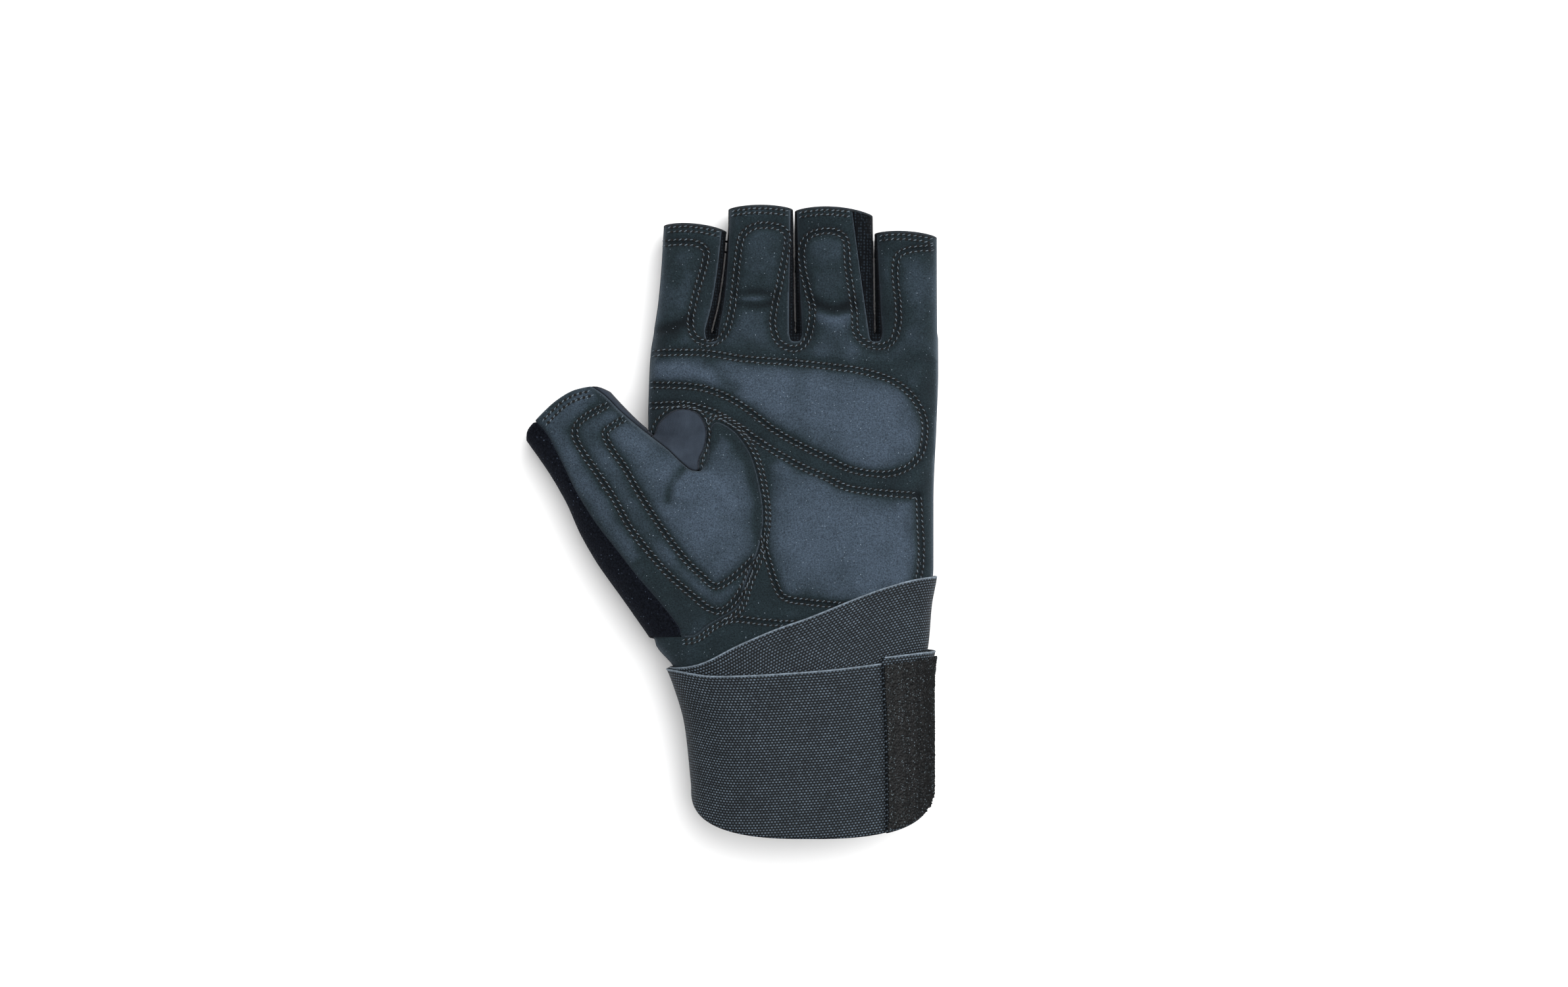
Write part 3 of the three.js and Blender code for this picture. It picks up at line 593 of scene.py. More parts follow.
def palm_side(p):
    """Height of the palm side with its padding, and its painted light and shade. The padding fades
    towards the silhouette, where the cloth turns down, and under the strap; the painted light and
    shade fade only towards the silhouette."""
    seam = seam_height(p[:, 1])
    bare = plain_height(p, 1)
    lift, crown = padding(p)
    share = np.clip((bare - seam) / pad_stand, 0, 1)
    free = np.clip((p[:, 1] - strap_line(p[:, 0])) / strap_fade, 0, 1)
    return np.maximum(bare + lift * share * free, seam), crown * share


def back_side(p):
    """Height of the glove's back, which lies on the floor."""
    return plain_height(p, -1), np.zeros(len(p))


# Outlines of the pieces, put together from seams that neighbours share

index, little = fingers[0], fingers[-1]
# Shares of the palm's length: where the outer sides of the index and the little finger begin, and
# where the cuff's left side ends at the thumb
index_foot, little_foot, cuff_end = 0.955, 0.985, 0.078
# Points along a finger's outer side, and along a seam in a slit
side_points, seam_points = 26, 30
lobe = thumb_path(lobe_line)
tongue = hand_path(tongue_line)
web_edge = hand_path(web_line)
top_line = thumb_path(thumb_top_line)
terry_edge = thumb_path(terry_line)
foot_edge = thumb_path(terry_foot)
corner_y = web_corner * palm_length
corner = hand_edge(-1, corner_y, corner_y)[:1]
thumb_rim = thumb_path(thumb_mouth)
rim_left = thumb_rim[:np.linalg.norm(thumb_rim - terry_edge[-1], axis=1).argmin()]
rim_right_start = np.linalg.norm(thumb_rim - top_line[0], axis=1).argmin() + 1
rim_middle = thumb_rim[len(rim_left) + 1:rim_right_start - 1]
rim_right = thumb_rim[rim_right_start:]
# The thumb's outer side from its foot to its mouth, and its inner side from there to the crotch
thumb_out = thumb_edge(1, 0.09, 1, 60)
thumb_in = thumb_edge(2, 0.93, 0.735, 14)


def mouth_line(finger, left, right):
    """A finger's mouth in plan between two places across."""
    x = np.linspace(left, right, max(3, round(abs(right - left) / point_spacing)))
    return np.stack([x, finger_mouth(finger, x)], 1)


def finger_side(finger, side, low):
    """Silhouette of a finger from low up to its mouth."""
    end = finger_edges(finger, palm_length + finger["length"])[side > 0]
    y = np.linspace(low, finger_mouth(finger, end), side_points)
    return np.stack([finger_edges(finger, y)[side > 0], y], 1)


def mesh_border(i, side):
    """Seam of the mesh in slit i from the crotch up to the mouth of the finger beside it."""
    finger = fingers[i + (side > 0)]
    top = palm_length + finger["length"]
    end = slit_edge(i, side, np.array([top]))[0]
    y = np.linspace(palm_length, finger_mouth(finger, end), seam_points)
    return np.stack([slit_edge(i, side, y), y], 1)


def slit_wall(i, side):
    """The finger's own edge in slit i, from the crotch up to its mouth."""
    finger = fingers[i + (side > 0)]
    end = slit_edge(i, 0, palm_length + finger["length"])
    y = np.linspace(palm_length + slit_gap, finger_mouth(finger, end), seam_points)
    return np.stack([slit_edge(i, 0, y) + side * slit_gap / 2, y], 1)


def crotch_foot(i):
    """Round end of the mesh below the crotch, from left to right."""
    middle_line = slit_edge(i, 0, np.array([palm_length]))[0]
    left, right = (mesh_border(i, side)[:1] for side in (-1, 1))
    round_end = slit_foot * fourchette_width + (middle_line, palm_length)
    return smooth_path(np.concatenate([left, round_end, right]), foot_spacing)


def mouth_ends(i, inset=0.0):
    """Left and right end of finger i's mouth between its meshes. At the glove's outer sides, where
    there is no mesh, it ends inset from the finger's edge."""
    edges = finger_edges(fingers[i], palm_length + fingers[i]["length"])
    left = mesh_border(i - 1, 1)[-1, 0] if i else edges[0] + inset
    right = mesh_border(i, -1)[-1, 0] if i < len(fingers) - 1 else edges[1] - inset
    return left, right


def fingers_outline(first):
    """Border of palm or back from the index's outer side over all the fingers to the little
    finger's: sides, mouths and the seams of the meshes."""
    pieces = [first]
    for i, finger in enumerate(fingers):
        pieces.append(mouth_line(finger, *mouth_ends(i))[1:-1])
        if finger is not little:
            pieces += [mesh_border(i, -1)[::-1], crotch_foot(i)[1:-1], mesh_border(i, 1)]
    pieces.append(finger_side(little, 1, palm_length)[::-1])
    return np.concatenate(pieces)


outer_index = np.concatenate([hand_edge(-1, corner_y, index_foot * palm_length),
                              finger_side(index, -1, palm_length)])
right_side = hand_edge(1, little_foot * palm_length, -cuff_length)
left_side = hand_edge(-1, -cuff_length, cuff_end * palm_length)
over_fingers = fingers_outline(outer_index)
palm_outline = np.concatenate([
    left_side, foot_edge[::-1], lobe[::-1][1:], tongue[1:-1], web_edge, over_fingers, right_side,
])
back_line = hand_path(thumb_back_line)
back_outline = np.concatenate([left_side, back_line, over_fingers, right_side])
thumb_outline = np.concatenate([terry_edge, rim_middle, top_line, tongue[::-1][1:-1], lobe[:-1]])
terry_outline = np.concatenate([thumb_out, rim_left[1:], terry_edge[::-1], foot_edge[1:]])
# The gusset meets the web patch on the palm side and the back panel on the other
web_start = np.linalg.norm(top_line - web_edge[-1], axis=1).argmin()
under_end = np.argmax(top_line[:, 1] < corner_y + point_spacing)
gusset_side = [corner, thumb_in[::-1], rim_right[::-1]]
gusset_top = np.concatenate([top_line[:web_start + 1], web_edge[-1:]] + gusset_side)
gusset_under = np.concatenate([top_line[:under_end]] + gusset_side)
thumb_back_outline = np.concatenate([
    thumb_out, rim_left[1:], terry_edge[-1:], rim_middle, top_line[:under_end], corner, back_line[::-1],
])
web_outline = np.concatenate([web_edge, top_line[web_start:-1]])


def fourchette_outline(i):
    """Border of the mesh in slit i: a U whose legs run to the mouths of both fingers."""
    left, right = mesh_border(i, -1), mesh_border(i, 1)
    walls = slit_wall(i, -1), slit_wall(i, 1)
    over_right = mouth_line(fingers[i + 1], right[-1, 0], walls[1][-1, 0])[1:-1]
    over_left = mouth_line(fingers[i], walls[0][-1, 0], left[-1, 0])[1:-1]
    return np.concatenate([left[::-1], crotch_foot(i)[1:-1], right, over_right, walls[1][::-1],
                           walls[0], over_left])


# Meshes

# Places that round to the same multiple of this are one
weld_size = 0.01


def welded(points, faces):
    """Makes points that lie in one place one. Gives which points stay, and the faces renumbered."""
    keys = np.round(points / weld_size).astype(np.int64)
    _, first, back = np.unique(keys, axis=0, return_index=True, return_inverse=True)
    return first, back.reshape(-1)[faces]


# Shares of a step: how far outside its outline a lattice still counts, and of a step squared: the
# smallest cell that stays
border_catch = 0.45
least_area = 0.02


def lattice(outline, step):
    """Square lattice over an outline: cells whose corners all lie inside it or less than about half
    a step outside stay, and the corners on the border move to the nearest place on the outline.
    Gives plan points, faces and each point's distance from the outline."""
    low, high = outline.min(0) - step, outline.max(0) + step
    first, last = np.floor(low / step).astype(int), np.ceil(high / step).astype(int)
    columns, rows = last - first + 1
    i, j = np.meshgrid(np.arange(columns), np.arange(rows), indexing="ij")
    points = np.stack([i.ravel() + first[0], j.ravel() + first[1]], 1) * float(step)
    closed = np.concatenate([outline, outline[:1]])
    distance, foot = nearest(points, closed, max(3.0, 3 * step))
    kept = inside(points, outline) | (distance < border_catch * step)
    number = (i * rows + j)[:-1, :-1].ravel()
    quads = np.stack([number, number + rows, number + rows + 1, number + 1], 1)
    quads = quads[kept[quads].all(1)]
    count = np.bincount(quads.ravel(), minlength=len(points))
    border = (count > 0) & (count < 4)
    points[border], distance[border] = foot[border], 0
    a, b, c, d = [points[quads[:, k]] for k in range(4)]
    across, along = (c - a).T, (d - b).T
    area = 0.5 * (across[0] * along[1] - across[1] * along[0])
    quads = quads[area > least_area * step ** 2]
    used, quads = np.unique(quads, return_inverse=True)
    stay, quads = welded(points[used], quads.reshape(-1, 4))
    return points[used][stay], quads, distance[used][stay]


# The side seam in plan: outer sides, the joints between them at the thumb's foot, and the slits
silhouette = [
    outer_index, np.concatenate([finger_side(little, 1, palm_length)[::-1], right_side]), left_side,
    thumb_out, thumb_in, np.stack([left_side[-1], foot_edge[-1], thumb_out[0]]),
    np.stack([left_side[-1], back_line[0], thumb_out[0]]),
] + [slit_wall(i, side) for i in range(len(slit_widths)) for side in (-1, 1)]
# Distance from the silhouette within which a point is sewn to the side seam
seam_catch = 0.08
# Rolled edges: width and depth, and how they grow with the height over the side seam: in steps of
# roll_stand, less roll_start
roll_width, roll_depth, roll_stand, roll_start = 1.1, 0.75, 6.0, 0.3


def cloth_part(outline, step, side, surface):
    """One side of a cloth piece: a lattice lifted to the surface. Its edge rolls down as a quarter
    round, but at the silhouette, where the surface is steep, it ends on the side seam instead.
    Gives points, faces, the painted light and shade, and edge: how far into the rolled border a
    point lies, which the materials use to paint shade along the edges."""
    plan, quads, distance = lattice(outline, step)
    z, crown = surface(plan)
    seam = seam_height(plan[:, 1])
    from_seam = np.min([nearest(plan, path, 1.0)[0] for path in silhouette], axis=0)
    z = np.where(from_seam < seam_catch, seam, z)
    turn = 1 - np.clip(distance / roll_width, 0, 1)
    stand = np.clip(side * (z - seam) / roll_stand - roll_start, 0, 1)
    z = z - side * roll_depth * (1 - np.sqrt(1 - turn ** 2)) * stand
    points = np.concatenate([plan, z[:, None]], 1)
    return points, quads if side > 0 else quads[:, ::-1], crown, turn


def make_object(name, points, faces, material, attributes=None, uv=None):
    """A piece from points in millimetres in the hand's frame. A corner that a quad names again is
    left out, so the quad becomes a triangle. The piece rides on the glove."""
    new = np.stack([(faces[:, :k] != faces[:, k:k + 1]).all(1) for k in range(4)], 1)
    real = new.sum(1) > 2
    corners, counts = faces[real][new[real]], new[real].sum(1)
    mesh = bpy.data.meshes.new(name)
    mesh.vertices.add(len(points))
    mesh.vertices.foreach_set("co", ((points + origin) * MM).astype(np.float32).ravel())
    mesh.loops.add(len(corners))
    mesh.loops.foreach_set("vertex_index", corners.astype(np.int32))
    mesh.polygons.add(len(counts))
    mesh.polygons.foreach_set("loop_start", (np.cumsum(counts) - counts).astype(np.int32))
    mesh.polygons.foreach_set("use_smooth", np.ones(len(counts), bool))
    mesh.update(calc_edges=True)
    for key, values in (attributes or {}).items():
        mesh.attributes.new(key, "FLOAT", "POINT").data.foreach_set("value", values.astype(np.float32))
    if uv is not None:
        mesh.uv_layers.new(name="cloth").data.foreach_set("uv", uv[corners].astype(np.float32).ravel())
    mesh.materials.append(material)
    piece = bpy.data.objects.new(name, mesh)
    bpy.context.scene.collection.objects.link(piece)
    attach(piece, "root")
    return piece


def thicken(piece, thickness):
    """Gives a sheet its thickness, inwards, with a closed rim."""
    solid = piece.modifiers.new("thickness", "SOLIDIFY")
    solid.thickness = thickness * MM
    solid.offset = -1
    solid.use_rim = True
    return piece


def cloth(name, material, sides, thickness, step):
    """A sewn cloth piece of one or two sides, each an outline with 1 for the palm side or -1 for the
    back. Two sides share the points of the silhouette, and faces in which they would lie on each
    other are left out."""
    parts = [cloth_part(outline, step, side, palm_side if side > 0 else back_side)
             for outline, side in sides]
    starts = np.cumsum([0] + [len(part[0]) for part in parts[:-1]])
    points, crown, edge = (np.concatenate([part[k] for part in parts]) for k in (0, 2, 3))
    faces = np.concatenate([part[1] + start for part, start in zip(parts, starts)])
    first, faces = welded(points, faces)
    _, back, count = np.unique(np.sort(faces, axis=1), axis=0, return_inverse=True, return_counts=True)
    faces = faces[count[back.reshape(-1)] == 1]
    used, faces = np.unique(faces, return_inverse=True)
    kept = first[used]
    # crown holds the painted light and shade, edge the mask for painted shade along the edges
    piece = make_object(name, points[kept], faces.reshape(-1, 4), material,
                        {"crown": crown[kept], "edge": edge[kept]})
    return thicken(piece, thickness)


def grid_faces(rows, columns, wrap=False):
    """Quads of a grid numbered row by row. With wrap its last column joins the first."""
    i, j = np.meshgrid(np.arange(rows - 1), np.arange(columns if wrap else columns - 1), indexing="ij")
    a = (i * columns + j).ravel()
    b = (i * columns + (j + 1) % columns).ravel()
    return np.stack([a, b, b + columns, a + columns], 1)


def tube(path, radius, sides=8, up=(0, 0, 1), closed=False):
    """Round profile carried along a path. At each point it stands square to the path, turned so
    that one of its axes leans towards up. An open tube ends in points."""
    path = np.asarray(path, float)
    way = np.roll(path, -1, 0) - np.roll(path, 1, 0) if closed else np.gradient(path, axis=0)
    way /= np.linalg.norm(way, axis=1, keepdims=True) + 1e-12
    aside = np.cross(way, np.broadcast_to(np.asarray(up, float), path.shape))
    aside /= np.linalg.norm(aside, axis=1, keepdims=True) + 1e-12
    over = np.cross(aside, way)
    turn = np.linspace(0, 2 * math.pi, sides, endpoint=False)
    ring = np.cos(turn)[None, :, None] * aside[:, None] + np.sin(turn)[None, :, None] * over[:, None]
    size = np.full(len(path), radius)
    if not closed:
        size[[0, -1]] = 0
    points = (path[:, None] + size[:, None, None] * ring).reshape(-1, 3)
    faces = grid_faces(len(path) + int(closed), sides, wrap=True) % len(points)
    first, faces = welded(points, faces[:, ::-1])
    return points[first], faces


def joined(parts):
    """Several meshes as one."""
    starts = np.cumsum([0] + [len(points) for points, _ in parts[:-1]])
    return (np.concatenate([points for points, _ in parts]),
            np.concatenate([faces + start for (_, faces), start in zip(parts, starts)]))


# Colours and materials

def colour(hex_code):
    """Linear colour from an sRGB hex code: each channel is raised by the sRGB curve."""
    channels = [int(hex_code[i:i + 2], 16) / 255 for i in (1, 3, 5)]
    return [c / 12.92 if c <= 0.04045 else ((c + 0.055) / 1.055) ** 2.4 for c in channels] + [1.0]


def add(tree, kind, inputs=None, **settings):
    """Adds a node with its settings, and fills or links its inputs by name or number."""
    made = tree.nodes.new(kind)
    for key, value in settings.items():
        setattr(made, key, value)
    for key, value in (inputs or {}).items():
        if isinstance(value, bpy.types.NodeSocket):
            tree.links.new(value, made.inputs[key])
        else:
            made.inputs[key].default_value = value
    return made


def start_material(name, roughness, sheen=0.0, sheen_tint="#ffffff", specular=0.3):
    """Empty material with its shader. Gives the material, its tree and the shader."""
    material = bpy.data.materials.new(name)
    material.use_nodes = True
    tree = material.node_tree
    tree.nodes.clear()
    shader = add(tree, "ShaderNodeBsdfPrincipled", {
        "Roughness": roughness, "Sheen Weight": sheen, "Sheen Roughness": 0.45,
        "Sheen Tint": colour(sheen_tint), "Specular IOR Level": specular,
    })
    output = add(tree, "ShaderNodeOutputMaterial")
    tree.links.new(shader.outputs["BSDF"], output.inputs["Surface"])
    return material, tree, shader


def ramp(tree, value, low, high):
    """Value carried from low..high to 0..1, held at both ends."""
    return add(tree, "ShaderNodeMapRange", {"Value": value, "From Min": low, "From Max": high}).outputs[0]


def mixed(tree, share, a, b):
    """Colour between a and b."""
    made = add(tree, "ShaderNodeMix", {0: share}, data_type="RGBA")
    for slot, value in ((6, a), (7, b)):
        if isinstance(value, bpy.types.NodeSocket):
            tree.links.new(value, made.inputs[slot])
        else:
            made.inputs[slot].default_value = value
    return made.outputs[2]


def math_node(tree, operation, a, b=0.0, c=0.0):
    """Result of a sum, product or the like on up to three values."""
    return add(tree, "ShaderNodeMath", {0: a, 1: b, 2: c}, operation=operation).outputs[0]


def per(millimetres):
    """Scale of a texture whose features are so many millimetres apart."""
    return 1 / (millimetres * MM)


def own_place(tree):
    """Places in the piece's own coordinates, in metres."""
    return add(tree, "ShaderNodeTexCoord").outputs["Object"]


def attribute(tree, name):
    """A value that the mesh holds for each of its points."""
    return add(tree, "ShaderNodeAttribute", attribute_name=name).outputs["Fac"]


def noise(tree, place, size, detail, roughness=0.5):
    """Smooth random mottling with features of a size in millimetres."""
    inputs = {"Vector": place, "Scale": per(size), "Detail": detail, "Roughness": roughness}
    return add(tree, "ShaderNodeTexNoise", inputs).outputs["Fac"]


def dots(tree, place, size, radii, channel, chances):
    """Scattered dots. In cells of a size in millimetres a dot fades between two radii. It shows
    where a random channel of the cell's colour is high, and fades between two chances."""
    cells = add(tree, "ShaderNodeTexVoronoi", {"Vector": place, "Scale": per(size)})
    channels = add(tree, "ShaderNodeSeparateColor", {0: cells.outputs["Color"]}).outputs
    return math_node(tree, "MULTIPLY", ramp(tree, cells.outputs["Distance"], *radii),
                     ramp(tree, channels[channel], *chances))


def raised(tree, shader, height, strength, depth):
    """Gives the surface a relief of a depth in millimetres."""
    relief = add(tree, "ShaderNodeBump", {"Height": height, "Strength": strength, "Distance": depth * MM})
    tree.links.new(relief.outputs[0], shader.inputs["Normal"])


def suede(name, channel, dark, light, fleck):
    """Napped microfibre suede: brushed fibres that stand up a little, so it has no gloss, a fine
    mottling of half-millimetre tufts, a bluish sheen at grazing angles, and stray pale fibres. Its
    colour has painted shade, darkest in the stitched channels and folds and along the rolled edges,
    and painted light, palest on the crowns of the pads, over a slow random mottling."""
    material, tree, shader = start_material(name, 0.95, sheen=0.25, sheen_tint="#8fa2b4", specular=0.1)
    place = own_place(tree)
    nap = noise(tree, place, 0.55, 3.0, 0.75)
    cloud = math_node(tree, "MULTIPLY_ADD", noise(tree, place, 9, 3.0), 0.9, -0.45)
    # Painted light and shade from the crown attribute, plus a slow random mottling
    paleness = math_node(tree, "ADD", attribute(tree, "crown"), cloud)
    # Painted shade towards the channel tone, painted light towards the crown tone
    base = mixed(tree, ramp(tree, paleness, -0.7, 0.1), colour(channel), colour(dark))
    base = mixed(tree, ramp(tree, paleness, 0.1, 0.95), base, colour(light))
    tuft = math_node(tree, "MULTIPLY_ADD", ramp(tree, nap, 0.3, 0.72), 1.3, 0.4)
    base = add(tree, "ShaderNodeVectorMath", {0: base, 1: tuft}, operation="MULTIPLY").outputs[0]
    fibres = dots(tree, place, 1.15, (0.15, 0.06), 0, (0.55, 1.0))
    base = mixed(tree, fibres, base, colour(fleck))
    # Painted shade along the rolled edges and the side seam, from the edge attribute
    base = mixed(tree, ramp(tree, attribute(tree, "edge"), 0.35, 1.0), base, colour("#10161a"))
    tree.links.new(base, shader.inputs["Base Color"])
    raised(tree, shader, nap, 0.55, 0.35)
    return material


def knit(name, dark, light, pitch, strength, sheen=0.15):
    """Fine stretch knit of polyester and elastane: small even loops, matt, with a slight sheen."""
    material, tree, shader = start_material(name, 0.85, sheen=sheen, sheen_tint="#8a8f9c", specular=0.08)
    place = own_place(tree)
    cells = add(tree, "ShaderNodeTexVoronoi", {"Vector": place, "Scale": per(pitch), "Randomness": 0.35})
    loop = ramp(tree, cells.outputs["Distance"], 0.55, 0.1)
    cloud = math_node(tree, "MULTIPLY", noise(tree, place, 7, 4.0), 1 - strength)
    shade = math_node(tree, "ADD", math_node(tree, "MULTIPLY", loop, strength), cloud)
    base = mixed(tree, ramp(tree, shade, 0.2, 0.85), colour(dark), colour(light))
    # Painted shade along the rolled edges and the side seam, from the edge attribute
    base = mixed(tree, ramp(tree, attribute(tree, "edge"), 0.35, 1.0), base, colour("#0b0c10"))
    tree.links.new(base, shader.inputs["Base Color"])
    raised(tree, shader, loop, 0.7, 0.3 * pitch)
    return material


def terry(name):
    """Terry towelling: upright cotton loops, 0.8 mm apart, that swallow light between them."""
    material, tree, shader = start_material(name, 1.0, sheen=0.12, sheen_tint="#5c6880", specular=0.05)
    place = own_place(tree)
    loops = noise(tree, place, 0.8, 2.0, 0.8)
    base = mixed(tree, ramp(tree, loops, 0.4, 0.68), colour("#040509"), colour("#10131a"))
    lint = dots(tree, place, 1.3, (0.22, 0.08), 1, (0.6, 0.95))
    base = mixed(tree, lint, base, colour("#465060"))
    tree.links.new(base, shader.inputs["Base Color"])
    raised(tree, shader, loops, 1.0, 0.7)
    return material


def weave(name, dark, light, across, along):
    """Woven elastic: polyester warp floats over rubber cores. They show as grains like rice, in
    rows that are set off by half a grain. The pattern follows the piece's own millimetres. A grain
    fades as 4.6 times its offset across squared plus 5.4 times that along squared grows."""
    material, tree, shader = start_material(name, 0.7, specular=0.15)
    place = add(tree, "ShaderNodeUVMap", uv_map="cloth").outputs["UV"]
    parts = add(tree, "ShaderNodeSeparateXYZ", {0: place}).outputs
    u, v = (math_node(tree, "DIVIDE", parts[i], size) for i, size in ((0, across), (1, along)))
    row = math_node(tree, "FLOOR", v)
    u = math_node(tree, "ADD", u, math_node(tree, "MULTIPLY", row, 0.5))
    squares = []
    for value, squeeze in ((u, 4.6), (v, 5.4)):
        offset = math_node(tree, "SUBTRACT", math_node(tree, "FRACT", value), 0.5)
        square = math_node(tree, "POWER", math_node(tree, "ABSOLUTE", offset), 2.0)
        squares.append(math_node(tree, "MULTIPLY", square, squeeze))
    grain = ramp(tree, math_node(tree, "ADD", *squares), 0.8, 0.1)
    cell = add(tree, "ShaderNodeCombineXYZ", {0: math_node(tree, "FLOOR", u), 1: row}).outputs[0]
    chance = add(tree, "ShaderNodeTexWhiteNoise", {"Vector": cell}).outputs["Value"]
    cloud = noise(tree, own_place(tree), 12, 4.0)
    bright = math_node(tree, "MULTIPLY", grain, math_node(tree, "MULTIPLY_ADD", chance, 0.55, 0.45))
    bright = math_node(tree, "MULTIPLY", bright, ramp(tree, cloud, -0.8, 0.75))
    tree.links.new(mixed(tree, bright, colour(dark), colour(light)), shader.inputs["Base Color"])
    raised(tree, shader, grain, 0.8, 0.3)
    return material


def fibre(name, tone, roughness=0.5):
    """Fibres of one tone, mottled a millimetre apart. Bonded sewing thread is twisted smooth and has
    a soft gloss, a yarn less, and a cut suede edge none. Near black and matt, it also paints the
    shade inside the needle holes."""
    material, tree, shader = start_material(name, roughness, sheen=0.0, specular=0.4)
    ply = ramp(tree, noise(tree, own_place(tree), 1.1, 2.0), 0.35, 0.65)
    dim = [0.45 * channel for channel in colour(tone)[:3]] + [1.0]
    tree.links.new(mixed(tree, ply, dim, colour(tone)), shader.inputs["Base Color"])
    return material


def hook_tape(name):
    """Moulded nylon hooks: black, with a hard gloss. Pale dots painted into the colour stand for the
    points of light on their tips: painted highlights.
    """
    material, tree, shader = start_material(name, 0.55, specular=0.18)
    # Painted highlights: pale dots for the glints on the hook tips
    painted_glints = dots(tree, own_place(tree), 0.7, (0.4, 0.1), 2, (0.45, 1.0))
    tree.links.new(mixed(tree, painted_glints, colour("#020304"), colour("#5f6c73")), shader.inputs["Base Color"])
    return material


# Suede tones: painted shade in the channels, the tone between the pads, painted light on the crowns, stray
# pale fibres
suede_palm = suede("napped_suede", "#0a0f12", "#172024", "#323c47", "#8794a0")
stretch_back = knit("stretch_knit_back", "#14181f", "#2b313b", 0.7, 0.35)
smooth_stretch = knit("smooth_lycra", "#1f252d", "#353d48", 0.45, 0.15, sheen=0.2)
air_mesh = knit("air_mesh_knit", "#030508", "#1c242b", 1.1, 0.85, sheen=0.03)
towelling = terry("terry_towelling")
elastic = weave("woven_elastic", "#06090c", "#5a6773", 1.2, 0.95)
seam_thread = fibre("bonded_thread", "#535f69")
# Painted shade: near-black discs where the thread dips into the cloth
needle_hole = fibre("needle_hole_shadow", "#040506", 1.0)
selvage_yarn = fibre("selvage_yarn", "#66727d", 0.7)
dark_binding = fibre("turned_suede_edge", "#1b2228", 0.95)
hook_nylon = hook_tape("hook_tape_nylon")


# Cloth pieces

palm = cloth("palm_panel_suede", suede_palm, [(palm_outline, 1)], thickness=1.4, step=0.7)
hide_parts("palm_panel", "finger_pad", "metacarpal_pad", "heel_pad")

thumb_front = cloth("thumb_panel_suede", suede_palm, [(thumb_outline, 1)], thickness=1.4, step=0.7)
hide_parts("thumb_panel", "thumb_pad")

back = cloth("back_panel_stretch", stretch_back, [(back_outline, -1)], thickness=1.4, step=1.1)
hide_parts("back_panel")

towel = cloth("thumb_terry_wipe", towelling, [(terry_outline, 1), (thumb_back_outline, -1)],
              thickness=1.5, step=0.7)
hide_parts("thumb_terry")

gusset = cloth("thumb_gusset_lycra", smooth_stretch, [(gusset_top, 1), (gusset_under, -1)],
               thickness=1.0, step=0.4)
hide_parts("thumb_gusset")

web = cloth("web_patch_lycra", smooth_stretch, [(web_outline, 1)], thickness=1.2, step=0.5)
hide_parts("web_patch")

for i in range(len(slit_widths)):
    slit = fingers[i]["name"] + "_" + fingers[i + 1]["name"]
    outline = fourchette_outline(i)
    side_mesh = cloth("fourchette_mesh_" + slit, air_mesh, [(outline, 1), (outline, -1)],
                      thickness=0.9, step=0.35)
    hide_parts("fourchette_" + slit)


# Strap

def squared(wave):
    """A sine or cosine bent to the superellipse: its power 2 / section_power, with its own sign."""
    return np.sign(wave) * np.abs(wave) ** (2 / section_power)


def strap_top(turn):
    """Upper edge of the strap. Within each half turn its rows are read at the place across the
    glove, so that it runs straight over the palm."""
    phase = 2 * (turn - strap_start) + 0.5
    half = np.floor(phase)
    across = squared(-np.cos((phase - half) * math.pi))
    place = strap_start + (half + (1 + across) / 2 - 0.5) / 2
    return smooth_value(place, strap_rows[:, 0], strap_rows[:, 1]) * palm_length


def around(angle, y, grow):
    """Places on the cuff's section at an angle from its top over its right side, let out by grow.
    Across and up follow the superellipse, and the underside is no lower than the hand's."""
    across, height = squared(np.sin(angle)), squared(np.cos(angle))
    shift, width, under, top = hand_row(y, 1, 2, 3, 4)
    seam = seam_height(y)
    tall = np.where(height > 0, top - seam, belly * (seam - under)) + grow
    z = np.maximum(seam + tall * height, under - grow)
    return np.stack([shift + (width / 2 + grow) * across, y, z], -1)


def strap_surface(turn, share, lift, margin=0.0):
    """Places on the wound strap. The turn gives the angle and how many layers lie below, with a
    smooth step 3t^2 - 2t^3 from one to the next. The share goes from the lower edge (0), a strap's
    width down or at the rim, to the upper edge (1)."""
    angle = (strap_start - turn) * 2 * math.pi
    part = np.clip((turn % 1 - 1 + climb_share) / climb_share, 0, 1)
    layer = np.floor(turn) + part ** 2 * (3 - 2 * part)
    rim = rim_low + rim_rise * (1 - np.abs(squared(np.cos(angle))))
    top = strap_top(turn)
    low = np.maximum(rim, top - strap_width) + margin / 2
    y = low + (top - margin - low) * share
    return around(angle, y, strap_clearance + layer * strap_pitch + lift)


def band(first, last, lift, margin, columns, rows):
    """Grid on the strap between two turns. Also gives its millimetres along and across as texture
    places, and its length along the middle."""
    turn, share = np.meshgrid(np.linspace(first, last, columns), np.linspace(0, 1, rows), indexing="ij")
    points = strap_surface(turn, share, lift, margin)
    middle_line = points[:, rows // 2]
    along = np.concatenate([[0], np.cumsum(np.linalg.norm(np.diff(middle_line, axis=0), axis=1))])
    uv = np.stack(np.broadcast_arrays(along[:, None], points[:, -1:, 1] - points[..., 1]), -1)
    return points, uv, along[-1]


# Drawn a little thinner than strap_thickness, so that the turns don't touch
wrap_columns, wrap_rows, wrap_wall = 420, 46, 1.2
wrap_points, wrap_uv, strap_length = band(0, strap_turns, strap_thickness, 0, wrap_columns, wrap_rows)
wrap = make_object("wrist_wrap_elastic", wrap_points.reshape(-1, 3), grid_faces(wrap_columns, wrap_rows),
                   elastic, uv=wrap_uv.reshape(-1, 2))
thicken(wrap, wrap_wall)
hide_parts("wrist_wrap")

